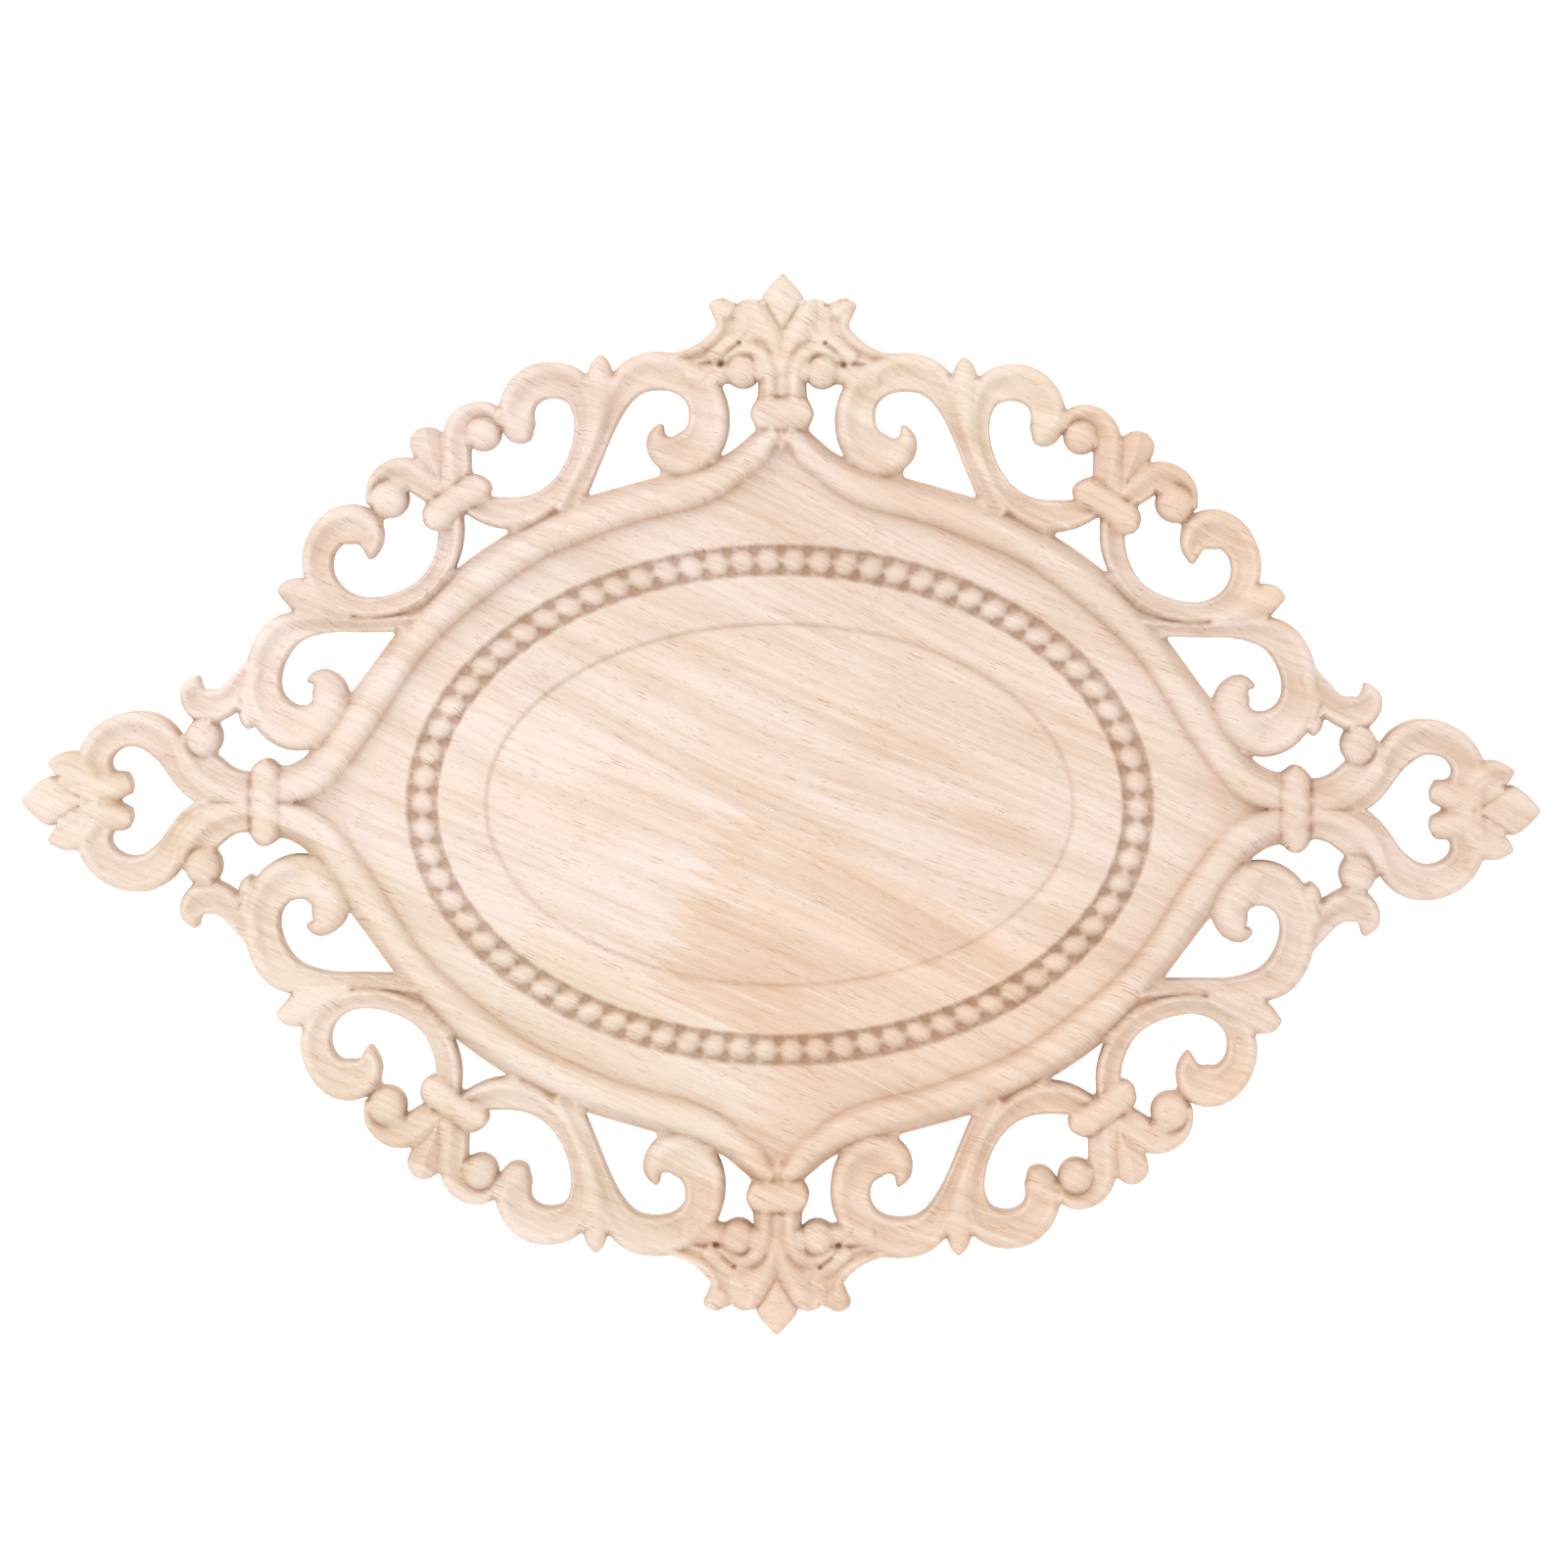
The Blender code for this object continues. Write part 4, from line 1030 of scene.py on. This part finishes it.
def wood():
    """Finger-jointed rubberwood, sanded and unfinished, with painted shade in the hollows."""
    mat = bpy.data.materials.new("rubberwood")
    mat.use_nodes = True
    tree = mat.node_tree
    shader = tree.nodes["Principled BSDF"]
    place = tree.nodes.new("ShaderNodeTexCoord").outputs["Object"]

    def reach(direction):
        """Millimetres along a direction."""
        n = tree.nodes.new("ShaderNodeVectorMath")
        n.operation = "DOT_PRODUCT"
        wire(tree, place, n.inputs[0])
        n.inputs[1].default_value = [c * 1000.0 for c in direction]
        return n.outputs["Value"]

    c = math.cos(GRAIN_ANGLE)
    s = math.sin(GRAIN_ANGLE)
    along = reach((c, 0.0, -s))
    straight = reach((s, 0.0, c))
    depth = reach((0.0, 1.0, 0.0))
    strip = calc(tree, "DIVIDE", calc(tree, "SUBTRACT", straight, STRIP_START), STRIP_WIDTH)
    strip = calc(tree, "FLOOR", strip)
    shift = calc(tree, "MULTIPLY", strip, STRIP_SHIFT)

    def grain(length, width, detail=1.0, rough=0.5, line=straight):
        """Noise drawn out along the grain, in its own place on every strip."""
        spot = vector(tree, calc(tree, "ADD", calc(tree, "DIVIDE", along, length), shift),
                      calc(tree, "DIVIDE", line, width), 0.0)
        return noise(tree, spot, 1.0, detail, rough)

    # across the grain: it turns a little with the depth and wanders along the board
    across = calc(tree, "ADD", straight, calc(tree, "MULTIPLY", depth, GRAIN_LEAN))
    wander = calc(tree, "SUBTRACT", grain(110.0, 45.0, 0.0), 0.5)
    across = calc(tree, "ADD", across, calc(tree, "MULTIPLY", wander, GRAIN_WANDER))
    broad = grain(150.0, 8.0, 1.0, 0.5, across)
    streak = grain(45.0, 1.5, 2.0, 0.6, across)
    fibre = grain(5.0, 0.28, 1.0, 0.6, across)
    cloud = grain(50.0, 20.0)
    fuzz = noise(tree, vector(tree, along, straight, 0.0), 3.6, 1.0, 0.6)

    # streaks and fibres over the tones of the boards
    col = board_tones(tree, strip, along, straight)
    for value, low, high, strength, tone, blend in (
            (broad, 0.35, 0.7, 1.0, STREAK_TONE, "MULTIPLY"),
            (cloud, 0.4, 0.7, 0.9, WARM_TONE, "MULTIPLY"),
            (streak, 0.45, 0.75, 0.9, LINE_TONE, "MULTIPLY"),
            (streak, 0.4, 0.2, 0.5, PALE_TONE, "MIX"),
            (fibre, 0.35, 0.75, 0.8, FIBRE_TONE, "MULTIPLY"),
            (fuzz, 0.35, 0.75, 0.8, FIBRE_TONE, "MULTIPLY")):
        col = tint(tree, fade(tree, value, low, high, 0.0, strength), col, tone, blend)

    # open vessels: long thin dashes and short ones, in crowds
    group = pore_group()
    crowd = fade(tree, grain(30.0, 5.0, 0.0, 0.5, across), 0.3, 0.7, 0.55, 1.0)
    dashes = pores(tree, group, along, across, 21.0, 0.95, calc(tree, "MULTIPLY", crowd, 0.135))
    shorts = pores(tree, group, calc(tree, "ADD", along, SHORTS_SHIFT), across, 9.0, 0.72,
                   calc(tree, "MULTIPLY", crowd, 0.14))
    vessel = calc(tree, "MULTIPLY", calc(tree, "MAXIMUM", dashes, shorts), VESSEL_SHARE)
    col = tint(tree, vessel, col, PORE_TONE)

    # painted shade: hollows, and deeper the pits, are darkened and browned by how sunk they lie
    hollow_shade = tree.nodes.new("ShaderNodeAttribute")
    hollow_shade.attribute_name = "hollow_shade"
    for low, high, tone in ((0.05, 0.55, HOLLOW_SHADE_TONE), (0.38, 0.9, PIT_SHADE_TONE)):
        col = tint(tree, fade(tree, hollow_shade.outputs["Fac"], low, high), col, tone, "MULTIPLY")
    wire(tree, col, shader.inputs["Base Color"])
    wire(tree, fade(tree, streak, 0.2, 0.8, 0.55, 0.75), shader.inputs["Roughness"])
    shader.inputs["Specular IOR Level"].default_value = 0.3

    height = calc(tree, "ADD", calc(tree, "MULTIPLY", fibre, 0.06),
                  calc(tree, "MULTIPLY", fuzz, 0.08))
    bump = tree.nodes.new("ShaderNodeBump")
    bump.inputs["Strength"].default_value = 0.6
    bump.inputs["Distance"].default_value = 0.001
    wire(tree, height, bump.inputs["Height"])
    wire(tree, bump.outputs["Normal"], shader.inputs["Normal"])
    return mat


def floor():
    """Plain pale floor under the hanging applique."""
    mesh = bpy.data.meshes.new("floor")
    r = FLOOR_REACH
    mesh.from_pydata([(-r, -r, 0), (r, -r, 0), (r, r, 0), (-r, r, 0)], [], [(0, 1, 2, 3)])
    ob = bpy.data.objects.new("floor", mesh)
    ob.location = (0.0, 0.0, FLOOR_LEVEL)
    bpy.context.scene.collection.objects.link(ob)
    mat = bpy.data.materials.new("floor")
    mat.use_nodes = True
    shader = mat.node_tree.nodes["Principled BSDF"]
    shader.inputs["Base Color"].default_value = FLOOR_TONE
    shader.inputs["Roughness"].default_value = 0.8
    ob.data.materials.append(mat)


def area_light(name, place, size, power):
    """Square lamp turned to the middle of the applique."""
    light = bpy.data.lights.new(name, "AREA")
    light.size = size
    light.energy = power
    ob = bpy.data.objects.new(name, light)
    ob.location = place
    ob.rotation_euler = (-Vector(place)).to_track_quat("-Z", "Y").to_euler()
    bpy.context.scene.collection.objects.link(ob)


def studio():
    """Soft white room and one soft lamp from the upper left."""
    world = bpy.data.worlds.new("studio")
    world.use_nodes = True
    sky = world.node_tree.nodes["Background"]
    sky.inputs["Color"].default_value = (1.0, 1.0, 1.0, 1.0)
    sky.inputs["Strength"].default_value = ROOM_LIGHT
    bpy.context.scene.world = world
    area_light("key", KEY_PLACE, KEY_SIZE, KEY_POWER)
    bpy.context.scene.view_settings.view_transform = "Standard"


def camera():
    """Camera at the photograph's angle."""
    cam = bpy.data.cameras.new("camera")
    cam.lens = VIEW_LENS
    cam.sensor_width = VIEW_SENSOR
    cam.clip_start = 0.01
    ob = bpy.data.objects.new("camera", cam)
    a = math.radians(VIEW_AZIMUTH)
    e = math.radians(VIEW_ELEVATION)
    away = Vector((math.sin(a) * math.cos(e), -math.cos(a) * math.cos(e), math.sin(e)))
    ob.location = Vector(VIEW_AIM) + away * VIEW_DISTANCE
    turn = (-away).to_track_quat("-Z", "Y").to_matrix().to_4x4()
    ob.matrix_world = Matrix.Translation(ob.location) @ turn @ Matrix.Rotation(
        math.radians(VIEW_ROLL), 4, "Z")
    bpy.context.scene.collection.objects.link(ob)
    bpy.context.scene.camera = ob


board = carved_board()
board.data.materials.clear()
board.data.materials.append(wood())
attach(board, "root")
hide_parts("applique")
floor()
studio()
camera()
